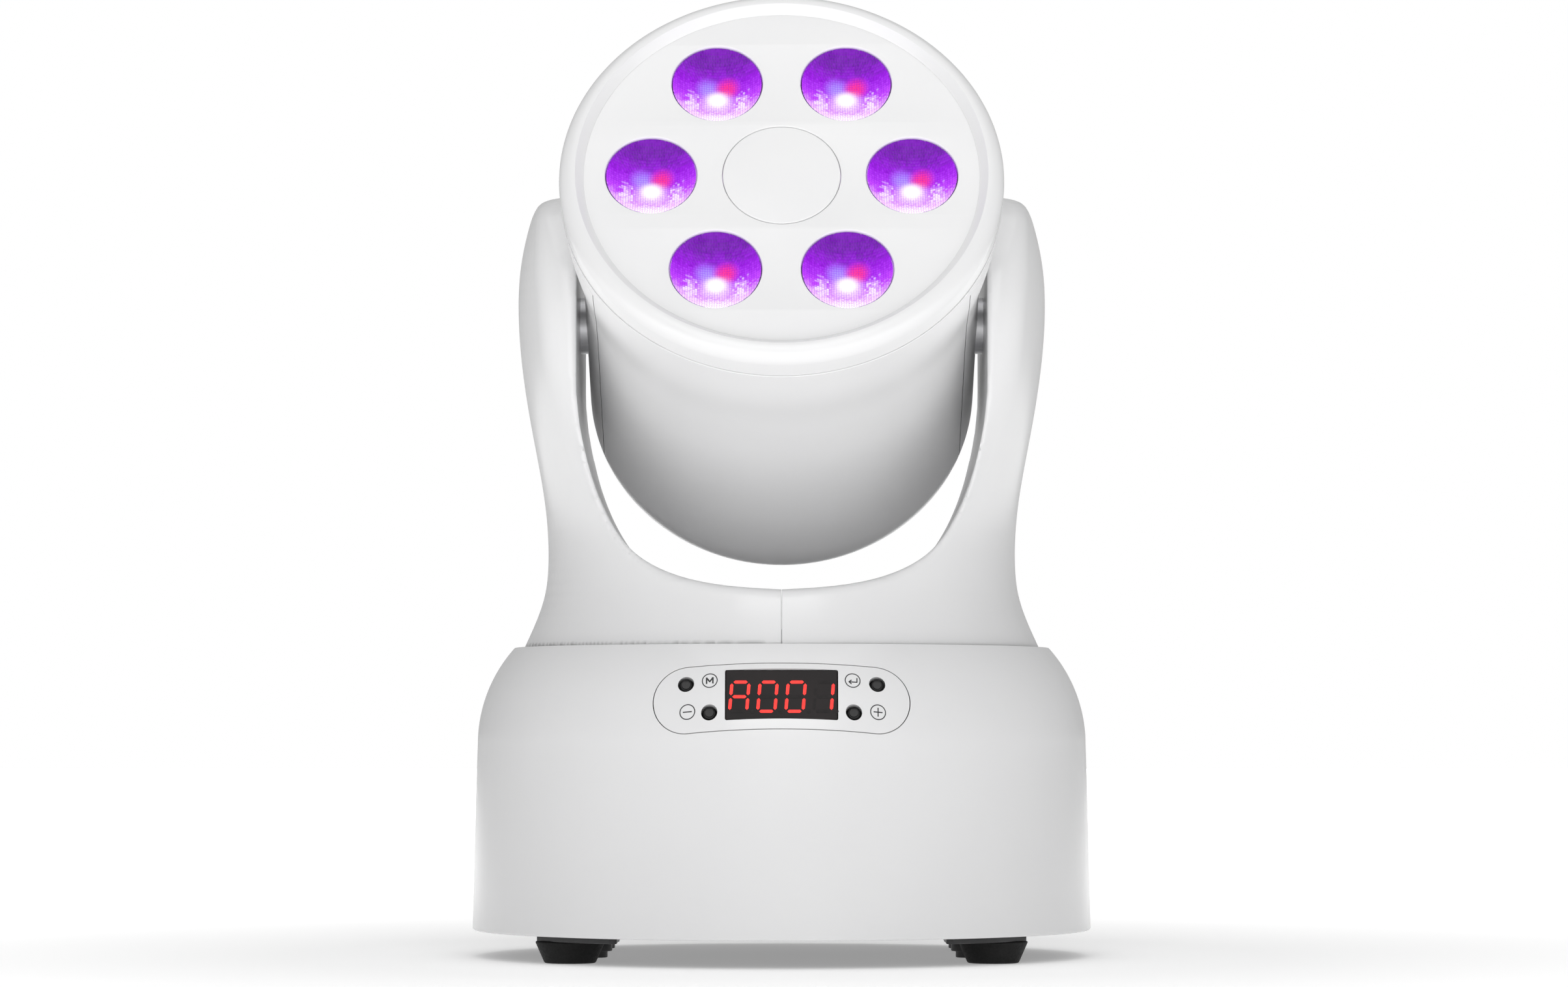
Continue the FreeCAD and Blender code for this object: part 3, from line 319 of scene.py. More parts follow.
def lens_material():
    """The faceted lens over a four-colour LED: violet walls, a white core, red and blue beside it."""
    material, tree, shader, place = start_material("lens_glow")
    flat = node(tree, "ShaderNodeVectorMath", operation="MULTIPLY")
    flat.inputs[1].default_value = (1, 0, 1)
    tree.links.new(place, flat.inputs[0])
    per_metre, throw_by = 1500.0, 0.0024
    cells = node(tree, "ShaderNodeTexVoronoi", Scale=per_metre, Randomness=0.15)
    tree.links.new(flat.outputs["Vector"], cells.inputs["Vector"])
    throw = node(tree, "ShaderNodeVectorMath", operation="MULTIPLY_ADD")
    throw.inputs[1].default_value = (throw_by, 0, throw_by)
    throw.inputs[2].default_value = (-throw_by / 2, 0, -throw_by / 2)
    tree.links.new(cells.outputs["Color"], throw.inputs[0])
    joined = node(tree, "ShaderNodeVectorMath", operation="ADD")
    tree.links.new(cells.outputs["Position"], joined.inputs[0])
    tree.links.new(throw.outputs["Vector"], joined.inputs[1])
    vector = joined.outputs["Vector"]
    split = tree.nodes.new("ShaderNodeSeparateXYZ")
    tree.links.new(vector, split.inputs["Vector"])
    height = remap(tree, split.outputs["Z"], -LENS_R * MM, LENS_R * MM)
    ramp = tree.nodes.new("ShaderNodeValToRGB")
    stops = [
        (0.0, (1.0, 0.90, 1.0)), (0.20, (0.86, 0.55, 1.0)), (0.42, (0.50, 0.06, 0.95)),
        (0.66, (0.26, 0.004, 0.62)), (0.86, (0.055, 0.0, 0.17)), (1.0, (0.12, 0.0, 0.30)),
    ]
    while len(ramp.color_ramp.elements) < len(stops):
        ramp.color_ramp.elements.new(0.5)
    for element, (stop, colour) in zip(ramp.color_ramp.elements, stops):
        element.position = stop
        element.color = (*colour, 1)
    tree.links.new(height, ramp.inputs["Fac"])
    glow = ramp.outputs["Color"]
    glow = over(tree, blob(tree, vector, (-6.9, -4.5), (2.4, 6.0), 0.8), glow, (1.0, 0.92, 1.0), 0.85)
    glow = over(tree, blob(tree, vector, (6.9, -4.5), (2.4, 6.0), 0.8), glow, (1.0, 0.92, 1.0), 0.85)
    glow = over(tree, blob(tree, vector, (0.2, -9.6), (6.5, 3.0), 0.9), glow, (1.0, 0.95, 1.0), 0.9)
    glow = over(tree, blob(tree, place, (-2.4, 2.0), (4.6, 4.2), 0.9), glow, (0.36, 0.30, 1.0), 0.95)
    glow = over(tree, blob(tree, place, (2.7, 2.2), (4.4, 4.2), 0.85), glow, (1.0, 0.03, 0.12), 0.95)
    glow = over(tree, blob(tree, place, (0.0, -2.4), (6.4, 5.2), 0.9), glow, (1.0, 0.86, 1.0), 1.0)
    edge = remap(tree, cells.outputs["Distance"], 0.2, 0.6)
    glow = over(tree, edge, glow, (0.16, 0.0, 0.40), 0.5)
    glow = over(tree, blob(tree, place, (0.0, -1.2), (3.9, 3.4), 0.8), glow, (1.0, 1.0, 1.0), 1.0)
    tree.links.new(glow, shader.inputs["Emission Color"])
    shader.inputs["Emission Strength"].default_value = 1.15
    shader.inputs["IOR"].default_value = 1.2
    tint = two_tone(tree, noise(tree, place, 400.0), (0.06, 0.01, 0.12), (0.09, 0.02, 0.17))
    tree.links.new(tint, shader.inputs["Base Color"])
    fine = noise(tree, place, 1500.0)
    tree.links.new(spread(tree, fine, 0.06, 0.16), shader.inputs["Roughness"])
    return material


WHITE = finish("white_gloss", (0.815, 0.815, 0.82), (0.83, 0.83, 0.834), (0.20, 0.24), 22.0, 60.0)
WHITE_HEAD = finish("white_head", (0.815, 0.815, 0.82), (0.83, 0.83, 0.834), (0.22, 0.26), 22.0, 60.0)
WHITE_FACE = finish(
    "white_satin", (0.84, 0.84, 0.845), (0.86, 0.86, 0.862), (0.42, 0.52), 30.0, 2600.0, 0.000002,
)
INK = finish("grey_ink", (0.03, 0.03, 0.032), (0.05, 0.05, 0.052), (0.5, 0.6), 300.0, 3000.0)
CAP_BLACK = finish(
    "cap_black", (0.005, 0.005, 0.005), (0.008, 0.008, 0.008), (0.10, 0.18), 300.0, 1200.0, ior=1.35,
)
FILTER = finish(
    "display_filter", (0.010, 0.008, 0.008), (0.016, 0.012, 0.012), (0.07, 0.12), 60.0, 600.0, ior=1.22,
)
UNLIT = finish(
    "segment_unlit", (0.016, 0.014, 0.014), (0.022, 0.019, 0.019), (0.3, 0.4), 300.0, 900.0, ior=1.22,
)
RED = lit_red("segment_red", (1.0, 0.012, 0.008), (1.0, 0.025, 0.015), 0.75)
RUBBER = finish(
    "foot_rubber", (0.006, 0.006, 0.006), (0.011, 0.011, 0.011), (0.5, 0.7), 120.0, 1600.0, 0.00004, ior=1.3,
)
LENS = lens_material()

SLOT_FINISH = {
    "white_shell": WHITE,
    "white_head": WHITE_HEAD,
    "white_face": WHITE_FACE,
    "black_steel": finish(
        "black_paint", (0.014, 0.014, 0.015), (0.024, 0.024, 0.025), (0.32, 0.46), 60.0, 1500.0, 0.00003,
    ),
    "rubber": RUBBER,
    "steel": brushed("zinc_steel", (0.50, 0.50, 0.52), (0.64, 0.64, 0.65), (0.28, 0.42), (1.0, 14.0, 1.0)),
    "aluminium": brushed("aluminium", (0.66, 0.67, 0.69), (0.78, 0.79, 0.80), (0.25, 0.38), (12.0, 1.0, 1.0)),
    "circuit_board": board_material(),
    "black_plastic": finish(
        "black_moulding", (0.013, 0.013, 0.014), (0.021, 0.021, 0.022), (0.34, 0.48), 80.0, 1800.0, 0.00003,
    ),
    "display_black": FILTER,
    "display_red": RED,
    "brass": brushed("nickel_brass", (0.62, 0.52, 0.30), (0.76, 0.66, 0.42), (0.22, 0.34), (1.0, 10.0, 1.0)),
    "belt_rubber": finish(
        "belt_rubber", (0.015, 0.015, 0.015), (0.028, 0.028, 0.028), (0.6, 0.8), 200.0, 1500.0, 0.00005,
    ),
    "lens": LENS,
    "led": lit_red("led_white", (1.0, 0.85, 1.0), (0.85, 0.70, 1.0), 2.0),
}


# ---------------------------------------------------------------- mesh helpers

def add_object(name, mesh, material):
    piece = bpy.data.objects.new(name, mesh)
    scene.collection.objects.link(piece)
    if material:
        mesh.materials.append(material)
    return piece


def mesh_from(name, points, faces, place=TO_ROW):
    mesh = bpy.data.meshes.new(name)
    mesh.from_pydata([tuple(p) for p in np.asarray(points, float)], [], [tuple(f) for f in faces])
    mesh.transform(place)
    work = bmesh.new()
    work.from_mesh(mesh)
    bmesh.ops.recalc_face_normals(work, faces=work.faces)
    work.to_mesh(mesh)
    work.free()
    return mesh


def smooth(mesh, degrees=32.0):
    mesh.shade_smooth()
    mesh.set_sharp_from_angle(angle=math.radians(degrees))


def settle(piece, body, slot, *nodes):
    """The piece rides on a body and stands for CAD nodes; the slot argument is not used."""
    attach(piece, body)
    if nodes:
        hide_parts(*nodes)
    return piece


def rounded(points, radii, steps=6):
    """A closed outline with each corner replaced by an arc of its radius."""
    outline = []
    count = len(points)
    for i in range(count):
        here = np.array(points[i], float)
        before = np.array(points[i - 1], float)
        after = np.array(points[(i + 1) % count], float)
        radius = radii[i] if isinstance(radii, (list, tuple)) else radii
        if radius <= 0:
            outline.append(tuple(here))
            continue
        to_before = (before - here) / np.linalg.norm(before - here)
        to_after = (after - here) / np.linalg.norm(after - here)
        half = math.acos(np.clip(np.dot(to_before, to_after), -1, 1)) / 2
        reach = radius / math.tan(half)
        inwards = to_before + to_after
        centre = here + inwards / np.linalg.norm(inwards) * radius / math.sin(half)
        start = here + to_before * reach - centre
        end = here + to_after * reach - centre
        a0 = math.atan2(start[1], start[0])
        turn = math.atan2(end[1], end[0]) - a0
        turn = (turn + math.pi) % (2 * math.pi) - math.pi
        for k in range(steps + 1):
            a = a0 + turn * k / steps
            outline.append((centre[0] + radius * math.cos(a), centre[1] + radius * math.sin(a)))
    return outline


def turned_mesh(name, outline, segments, place=TO_ROW, axis="Z"):
    """Turns a closed (radius, height) outline about an axis."""
    points, rows = [], []
    for r, t in outline:
        if r < 1e-6:
            rows.append([len(points)] * segments)
            points.append((0, 0, t))
            continue
        row = []
        for k in range(segments):
            a = 2 * math.pi * k / segments
            row.append(len(points))
            points.append((r * math.cos(a), r * math.sin(a), t))
        rows.append(row)
    faces = []
    for i, row in enumerate(rows):
        other = rows[(i + 1) % len(rows)]
        if row[0] == row[1] and other[0] == other[1]:
            continue
        for k in range(segments):
            n = (k + 1) % segments
            faces.append(list(dict.fromkeys([row[k], row[n], other[n], other[k]])))
    if axis == "Y":
        points = [(x, z, y) for x, y, z in points]
    return mesh_from(name, points, faces, place)


def add_prism(points, faces, outline, low, high):
    """Adds a closed outline pulled from low to high."""
    base, count = len(points), len(outline)
    points += [(u, v, w) for w in (low, high) for u, v in outline]
    faces += [[base + k for k in range(count)][::-1], [base + count + k for k in range(count)]]
    for k in range(count):
        n = (k + 1) % count
        faces.append([base + k, base + n, base + n + count, base + k + count])


def prism_mesh(name, outline, low, high, place=TO_ROW, axes="xyz"):
    """A closed outline pulled from low to high. The axes string says where u, v and the pull go."""
    points, faces = [], []
    add_prism(points, faces, outline, low, high)
    order = [axes.index(letter) for letter in "xyz"]
    return mesh_from(name, [[p[n] for n in order] for p in points], faces, place)


def rectangle(width, height, x=0.0, y=0.0):
    w, h = width / 2, height / 2
    return [(x - w, y - h), (x + w, y - h), (x + w, y + h), (x - w, y + h)]


def circle(radius, x=0.0, y=0.0, steps=48):
    turns = [2 * math.pi * k / steps for k in range(steps)]
    return [(x + radius * math.cos(a), y + radius * math.sin(a)) for a in turns]


def arc(centre_r, centre_z, radius, end, steps):
    """Points of an arc from angle 0 to its end, without the first."""
    turns = [end * k / steps for k in range(1, steps + 1)]
    return [(centre_r + radius * math.cos(a), centre_z + radius * math.sin(a)) for a in turns]


def stadium(width, height, steps=40):
    r = height / 2
    outline = []
    for side in (1, -1):
        for k in range(steps + 1):
            a = math.pi * (k / steps - 0.5)
            outline.append((side * (width / 2 - r + r * math.cos(a)), side * r * math.sin(a)))
    return outline


def carve(mesh, other, operation):
    """Joins, cuts or intersects two closed meshes and returns the result."""
    first = bpy.data.objects.new("carve_a", mesh)
    second = bpy.data.objects.new("carve_b", other)
    for made in (first, second):
        scene.collection.objects.link(made)
    step = first.modifiers.new("carve", "BOOLEAN")
    step.solver = "EXACT"
    step.operation = operation
    step.object = second
    bpy.context.view_layer.update()
    depsgraph = bpy.context.evaluated_depsgraph_get()
    result = bpy.data.meshes.new_from_object(first.evaluated_get(depsgraph))
    result.name = mesh.name
    for made in (first, second):
        bpy.data.objects.remove(made)
    bpy.data.meshes.remove(mesh)
    bpy.data.meshes.remove(other)
    return result


def sample(points, step=1.5):
    """A smooth cubic curve through 2-D points, as a fine polyline."""
    pts = np.array(points, float)
    t = np.concatenate([[0], np.cumsum(np.linalg.norm(np.diff(pts, axis=0), axis=1))])
    n = len(t)
    h = np.diff(t)
    system = np.eye(n)
    right = np.zeros((n, 2))
    for i in range(1, n - 1):
        system[i, i - 1:i + 2] = (h[i - 1], 2 * (h[i - 1] + h[i]), h[i])
        right[i] = 6 * ((pts[i + 1] - pts[i]) / h[i] - (pts[i] - pts[i - 1]) / h[i - 1])
    second = np.linalg.solve(system, right)
    out = []
    for i in range(n - 1):
        count = max(2, int(math.ceil(h[i] / step)))
        for k in range(count):
            s = h[i] * k / count
            e = h[i] - s
            out.append(
                second[i] * e**3 / (6 * h[i]) + second[i + 1] * s**3 / (6 * h[i])
                + (pts[i] / h[i] - second[i] * h[i] / 6) * e
                + (pts[i + 1] / h[i] - second[i + 1] * h[i] / 6) * s
            )
    out.append(pts[-1])
    return np.array(out)


def turned_normals(mesh, profile, place, axis="Z", reach=0.08):
    """Gives the faces on a turned surface their exact normals, so cuts leave no ripples in the gloss."""
    profile = np.array(profile, float)
    tangent = np.gradient(profile, axis=0)
    normal = np.stack([tangent[:, 1], -tangent[:, 0]], axis=1)
    normal /= np.linalg.norm(normal, axis=1)[:, None]
    outward = 1.0 if normal[0, 0] > 0 else -1.0
    back = np.array(place.inverted())
    count = len(mesh.vertices)
    co = np.zeros(count * 3)
    mesh.vertices.foreach_get("co", co)
    local = co.reshape(-1, 3) @ back[:3, :3].T + back[:3, 3]
    if axis == "Y":
        local = local[:, [0, 2, 1]]
    r = np.hypot(local[:, 0], local[:, 1])
    t = local[:, 2]
    a = profile[:-1]
    d = profile[1:] - a
    size = (d**2).sum(1)
    best = np.full(count, 1e9)
    found = np.zeros((count, 2))
    for i in range(len(a)):
        s = np.clip(((r - a[i, 0]) * d[i, 0] + (t - a[i, 1]) * d[i, 1]) / size[i], 0, 1)
        gap = np.hypot(r - a[i, 0] - s * d[i, 0], t - a[i, 1] - s * d[i, 1])
        nearer = gap < best
        best[nearer] = gap[nearer]
        found[nearer] = normal[i] * (1 - s[nearer])[:, None] + normal[i + 1] * s[nearer][:, None]
    unit = local[:, :2] / np.maximum(r, 1e-9)[:, None]
    vector = np.stack([unit[:, 0] * found[:, 0], unit[:, 1] * found[:, 0], found[:, 1]], axis=1) * outward
    if axis == "Y":
        vector = vector[:, [0, 2, 1]]
    forward = np.array(place)[:3, :3]
    vector = vector @ forward.T
    vector /= np.linalg.norm(vector, axis=1)[:, None]
    normals = []
    for face in mesh.polygons:
        flat = np.array(face.normal)
        near = all(best[v] < reach for v in face.vertices)
        for v in face.vertices:
            exact = near and float(vector[v] @ flat) > 0.8
            normals.append(tuple(vector[v]) if exact else tuple(flat))
    mesh.shade_smooth()
    mesh.normals_split_custom_set(normals)


# ---------------------------------------------------------------- base

def base_profile():
    """The drum's outside from its foot to the rim: one long soft arc, then the shoulder."""
    rise = SHOULDER_Z - BASE_BOTTOM
    foot_r = SHOULDER_CENTRE_R + SHOULDER_RADIUS
    points = []
    for k in range(SIDE_STEPS + 1):
        s = k / SIDE_STEPS
        bulge = 4 * s * (1 - s) * (BASE_MID_R - (BASE_R + foot_r) / 2)
        points.append((BASE_R + (foot_r - BASE_R) * s + bulge, BASE_BOTTOM + rise * s))
    end = math.acos((RIM_R - SHOULDER_CENTRE_R) / SHOULDER_RADIUS)
    return points + arc(SHOULDER_CENTRE_R, SHOULDER_Z, SHOULDER_RADIUS, end, SHOULDER_STEPS)


def base_section(bottom_round=0.7, rim_round=0.5):
    """The drum's skin as a closed outline, with its pocket for the yoke."""
    outside = base_profile()
    rim_z = outside[-1][1]
    inside = [(r - WALL, z) for r, z in outside[:SIDE_STEPS + 1]]
    span = SHOULDER_RADIUS - WALL
    end = math.asin((POCKET_Z - WALL - SHOULDER_Z) / span)
    inside += arc(SHOULDER_CENTRE_R, SHOULDER_Z, span, end, 30)
    pocket = [
        (POCKET_R, rim_z), (POCKET_R, POCKET_Z), (POCKET_HOLE_R, POCKET_Z), (POCKET_HOLE_R, POCKET_Z - WALL),
    ]
    outline = outside + pocket + inside[::-1]
    radii = [0.0] * len(outline)
    radii[0] = bottom_round
    radii[len(outside) - 1] = rim_round
    radii[len(outside)] = 0.3
    return rounded(outline, radii, 5)


def solid_drum():
    outside = base_profile()
    return outside + [(0, outside[-1][1]), (0, BASE_BOTTOM)]


def on_panel_prism(name, outline, low=-14.0, high=8.0):
    return prism_mesh(name, outline, low, high, TO_PANEL)


def make_base():
    shell = turned_mesh("base_skin", base_section(), 360)
    rear_height = REAR_HIGH - REAR_LOW
    rear_mid = (REAR_HIGH + REAR_LOW) / 2
    outer = rounded(rectangle(REAR_W + 2 * WALL, rear_height + 2 * WALL, 0, rear_mid), 3.5)
    frame_box = prism_mesh("frame", outer, REAR_Y - 3, 95, axes="xzy")
    rim = carve(turned_mesh("drum", solid_drum(), 240), frame_box, "INTERSECT")
    shell = carve(shell, rim, "UNION")
    inner = rounded(rectangle(REAR_W, rear_height, 0, rear_mid), 1.2)
    shell = carve(shell, prism_mesh("opening", inner, REAR_Y - 9, 95, axes="xzy"), "DIFFERENCE")
    shell = carve(shell, on_panel_prism("window", stadium(PANEL_W, PANEL_H)), "DIFFERENCE")
    turned_normals(shell, base_profile()[1:-1], TO_ROW)
    settle(add_object("base_skin", shell, WHITE), "base", "white_shell", "base_shell")


def make_panel():
    skin = turned_mesh("panel_skin", base_section(), 480)
    skin = carve(skin, on_panel_prism("edge", stadium(PANEL_W - 0.5, PANEL_H - 0.5)), "INTERSECT")
    hole = rounded(rectangle(DISPLAY_W + 0.3, DISPLAY_H + 0.3, 0, DISPLAY_V), 0.5)
    skin = carve(skin, on_panel_prism("display_hole", hole), "DIFFERENCE")
    for _, u, v in BUTTONS.values():
        skin = carve(skin, on_panel_prism("cap_hole", circle(CAP_HOLE_R, u, v)), "DIFFERENCE")
    turned_normals(skin, base_profile()[1:-1], TO_ROW)
    settle(add_object("panel_skin", skin, WHITE), "base", "white_shell", "control_panel")


def on_shoulder(u, v, lift):
    """A point of the panel's plane dropped onto the curved shoulder, with a lift, in millimetres."""
    place = np.array(TO_PANEL) / MM
    place[3] = (0, 0, 0, 1)
    start = place[:3, 0] * u + place[:3, 1] * v + place[:3, 3]
    w = 0.0
    for _ in range(12):
        p = start + place[:3, 2] * w
        off_r, off_z = math.hypot(p[0], p[1]) - SHOULDER_CENTRE_R, p[2] - SHOULDER_Z
        w -= math.hypot(off_r, off_z) - SHOULDER_RADIUS - lift
    return tuple(start + place[:3, 2] * w)


def strip(points, faces, path, width):
    """Adds a thin raised line along a path on the panel."""
    for (u0, v0), (u1, v1) in zip(path, path[1:]):
        length = math.hypot(u1 - u0, v1 - v0)
        along = ((u1 - u0) / length * width / 2, (v1 - v0) / length * width / 2)
        across = (-along[1], along[0])
        more = (along[0] * 0.4, along[1] * 0.4)
        base = len(points)
        corners = [
            (u0 - more[0] + across[0], v0 - more[1] + across[1]),
            (u1 + more[0] + across[0], v1 + more[1] + across[1]),
            (u1 + more[0] - across[0], v1 + more[1] - across[1]),
            (u0 - more[0] - across[0], v0 - more[1] - across[1]),
        ]
        for lift in (-PRINT_LIFT, PRINT_LIFT):
            points += [on_shoulder(u, v, lift) for u, v in corners]
        faces += [[base + i for i in face] for face in ([3, 2, 1, 0], [4, 5, 6, 7])]
        for i in range(4):
            n = (i + 1) % 4
            faces.append([base + i, base + n, base + n + 4, base + i + 4])


def circle_line(points, faces, centre, radius, width, steps=40):
    """Adds a thin raised circle on the panel."""
    base = len(points)
    inner, outer = radius - width / 2, radius + width / 2
    lifts = (-PRINT_LIFT, PRINT_LIFT, PRINT_LIFT, -PRINT_LIFT)
    for r, lift in zip((inner, inner, outer, outer), lifts):
        for k in range(steps):
            a = 2 * math.pi * k / steps
            points.append(on_shoulder(centre[0] + r * math.cos(a), centre[1] + r * math.sin(a), lift))
    for i in range(4):
        row, other = base + i * steps, base + (i + 1) % 4 * steps
        for k in range(steps):
            n = (k + 1) % steps
            faces.append([row + k, row + n, other + n, other + k])


def make_icons():
    """The printed signs beside the buttons: circles with M, minus, return and plus."""
    places = {"menu": (-19.3, 4.8), "minus": (-25.3, -3.6), "enter": (19.1, 4.8), "plus": (25.9, -3.6)}
    signs = {
        "menu": [[(-0.85, -0.85), (-0.85, 0.85), (0.0, -0.35), (0.85, 0.85), (0.85, -0.85)]],
        "minus": [[(-1.15, 0), (1.15, 0)]],
        "enter": [[(1.15, 0.75), (1.15, -0.45), (-1.0, -0.45)], [(-0.35, 0.1), (-1.0, -0.45), (-0.35, -1.0)]],
        "plus": [[(-1.15, 0), (1.15, 0)], [(0, -1.15), (0, 1.15)]],
    }
    for name, (u, v) in places.items():
        points, faces = [], []
        circle_line(points, faces, (u, v), 2.0, 0.27)
        for path in signs[name]:
            strip(points, faces, [(u + x, v + y) for x, y in path], 0.31 if name != "menu" else 0.4)
        mesh = mesh_from("icon_" + name, points, faces)
        settle(add_object("icon_" + name, mesh, INK), "base", "black_plastic")


def make_display():
    outline = rounded(rectangle(DISPLAY_W, DISPLAY_H, 0, DISPLAY_V), 0.35)
    block = prism_mesh("display_block", outline, -8.8, -DISPLAY_SINK, TO_PANEL)
    piece = add_object("display_block", block, FILTER)
    edge = piece.modifiers.new("edge", "BEVEL")
    edge.width = 0.2 * MM
    edge.segments = 2
    settle(piece, "base", "display_black", "display_module")

    half_w, half_h, wide, gap = 2.3, 4.15, 0.85, 0.42
    slant = math.tan(math.radians(4.5))
    bars = {
        "a": (-half_w, half_h, half_w, half_h),
        "b": (half_w, 0, half_w, half_h),
        "c": (half_w, -half_h, half_w, 0),
        "d": (-half_w, -half_h, half_w, -half_h),
        "e": (-half_w, -half_h, -half_w, 0),
        "f": (-half_w, 0, -half_w, half_h),
        "g": (-half_w, 0, half_w, 0),
    }
    pitch = 7.55
    h = wide / 2
    depths = (-DISPLAY_SINK - 0.05, -DISPLAY_SINK + 0.06)
    lit = ("abcefg", "abcdef", "abcdef", "bc")
    groups = {True: ([], []), False: ([], [])}
    for i, names in enumerate(lit):
        middle = (i - 1.5) * pitch
        for name, (x0, y0, x1, y1) in bars.items():
            if y0 == y1:
                shape = [(x0 + gap, y0), (x0 + gap + h, y0 + h), (x1 - gap - h, y0 + h), (x1 - gap, y0),
                         (x1 - gap - h, y0 - h), (x0 + gap + h, y0 - h)]
            else:
                shape = [(x0, y0 + gap), (x0 - h, y0 + gap + h), (x0 - h, y1 - gap - h), (x0, y1 - gap),
                         (x0 + h, y1 - gap - h), (x0 + h, y0 + gap + h)]
            slanted = [(middle + x + y * slant, y + DIGIT_V) for x, y in shape]
            add_prism(*groups[name in names], slanted, *depths)
    bright = mesh_from("digits_lit", *groups[True], TO_PANEL)
    settle(add_object("digits_lit", bright, RED), "base", "display_red", "display_digits")
    for i in range(len(lit)):
        dot = circle(0.5, (i - 1.5) * pitch + 3.5, -half_h + DIGIT_V, 16)
        add_prism(*groups[False], dot, *depths)
    dark = mesh_from("digits_unlit", *groups[False], TO_PANEL)
    settle(add_object("digits_unlit", dark, UNLIT), "base", "display_black")


def cap_top(x, y):
    """Height of a button's top in the panel's frame, 0.2 mm below the curved skin."""
    back_x = PANEL_R - math.sqrt(PANEL_R**2 - x**2)
    back_y = SHOULDER_RADIUS - math.sqrt(SHOULDER_RADIUS**2 - y**2)
    return -(back_x * math.cos(PANEL_TILT) + back_y + 0.2)


def make_buttons():
    for node_name, (body, u, v) in BUTTONS.items():
        top = cap_top(u, v)
        stem = top - 6.0
        outline = [(0, stem), (CAP_R, stem), (CAP_R, top - 0.45), (1.3, top - 0.45), (1.3, top), (0, top)]
        section = rounded(outline, [0, 0.2, 0.4, 0, 0.16, 0], 5)
        place = TO_PANEL @ Matrix.Translation((u, v, 0))
        mesh = turned_mesh("cap_" + body, section, 48, place)
        smooth(mesh, 40)
        settle(add_object("cap_" + body, mesh, CAP_BLACK), body, "black_plastic", node_name)


def make_feet():
    outline = [
        (3.4, 0), (7.0, 0), (FOOT_R, FOOT_H), (FOOT_HOLE_R, FOOT_H), (FOOT_HOLE_R, 3.0), (3.4, 3.0),
    ]
    section = rounded(outline, [0.3, 0.8, 0.3, 0, 0, 0], 5)
    _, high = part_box("rubber_feet")
    x = high.x / MM - FOOT_R
    y = high.y / MM - FOOT_R
    work = bmesh.new()
    for sx in (-1, 1):
        for sy in (-1, 1):
            part = turned_mesh("foot", section, 72, TO_ROW @ Matrix.Translation((sx * x, sy * y, 0)))
            work.from_mesh(part)
            bpy.data.meshes.remove(part)
    mesh = bpy.data.meshes.new("feet")
    work.to_mesh(mesh)
    work.free()
    smooth(mesh, 35)
    settle(add_object("feet", mesh, RUBBER), "base", "rubber", "rubber_feet")


# ---------------------------------------------------------------- yoke

def curve_gap(curve, u, v):
    """Distance of points from a polyline, positive on the right of its direction."""
    a = curve[:-1]
    d = np.diff(curve, axis=0)
    size = (d**2).sum(1)
    best = np.full(u.shape, 1e9)
    sign = np.ones(u.shape)
    for i in range(len(a)):
        pu, pv = u - a[i, 0], v - a[i, 1]
        s = np.clip((pu * d[i, 0] + pv * d[i, 1]) / size[i], 0, 1)
        gap = (pu - s * d[i, 0])**2 + (pv - s * d[i, 1])**2
        nearer = gap < best - 1e-9
        best = np.where(nearer, gap, best)
        side = np.where(pu * d[i, 1] - pv * d[i, 0] >= 0, 1.0, -1.0)
        sign = np.where(nearer, side, sign)
    return sign * np.sqrt(best)


def soft_max(a, b, k):
    h = np.maximum(k - np.abs(a - b), 0) / k
    return np.maximum(a, b) + h * h * k / 4


def extend(curve, start, end):
    """Lengthens a polyline at both ends by straight runs."""
    curve = np.array(curve, float)
    return np.vstack([curve[0] + np.array(start, float), curve, curve[-1] + np.array(end, float)])


SIDE_CURVE = sample(YOKE_SIDE, 2.0)
FLANK_CURVE = sample(YOKE_FLANK, 2.0)
MOUTH_CURVE = extend(sample(YOKE_MOUTH, 2.0), (-40, 0), (0, 90))
SWEEP_CURVE = extend(sample(HEAD_SWEEP, 2.0), (0, -60), (-40, 0))


def slope_scale(level, value):
    """What turns a gap measured across an axis into one measured square to the curve."""
    slope = np.gradient(value, level)
    return 1 / np.sqrt(1 + slope**2)


def yoke_field(x, y, z):
    """Below zero inside the moulded yoke, which is the same on both sides of the middle plane."""
    x = np.abs(x)
    r = np.hypot(x, y)
    side_z, side_r = SIDE_CURVE[:, 1], SIDE_CURVE[:, 0]
    side_c = slope_scale(side_z, side_r)
    turned = (r - np.interp(z, side_z, side_r)) * np.interp(z, side_z, side_c)
    turned = np.maximum(turned, z - YOKE_TOP - 0.05)
    flank_z, flank_y = FLANK_CURVE[::-1, 1], FLANK_CURVE[::-1, 0]
    flank_c = slope_scale(flank_z, flank_y)
    low = (np.abs(y) - np.interp(z, flank_z, flank_y)) * np.interp(z, flank_z, flank_c)
    high = np.hypot(y, z - TILT_Z) - ARM_TOP_R
    flank = np.where(z > TILT_Z, high, low)
    flank = flank - 3.0 * np.maximum(105.0 - z, 0.0)
    body = soft_max(turned, flank, 3.0 + 3.0 * np.clip((208.0 - z) / 18.0, 0, 1))
    rho = np.hypot(y, z - TILT_Z)
    mouth = -curve_gap(MOUTH_CURVE, x, z)
    sweep = -curve_gap(SWEEP_CURVE, x, rho)
    gap = soft_max(mouth, sweep, 1.5)
    body = soft_max(body, gap, np.where(z > 140.0, 1.2, 2.6 - 1.4 * np.clip((z - 120.0) / 20.0, 0, 1)))
    return soft_max(body, YOKE_BOTTOM - z, 1.0)


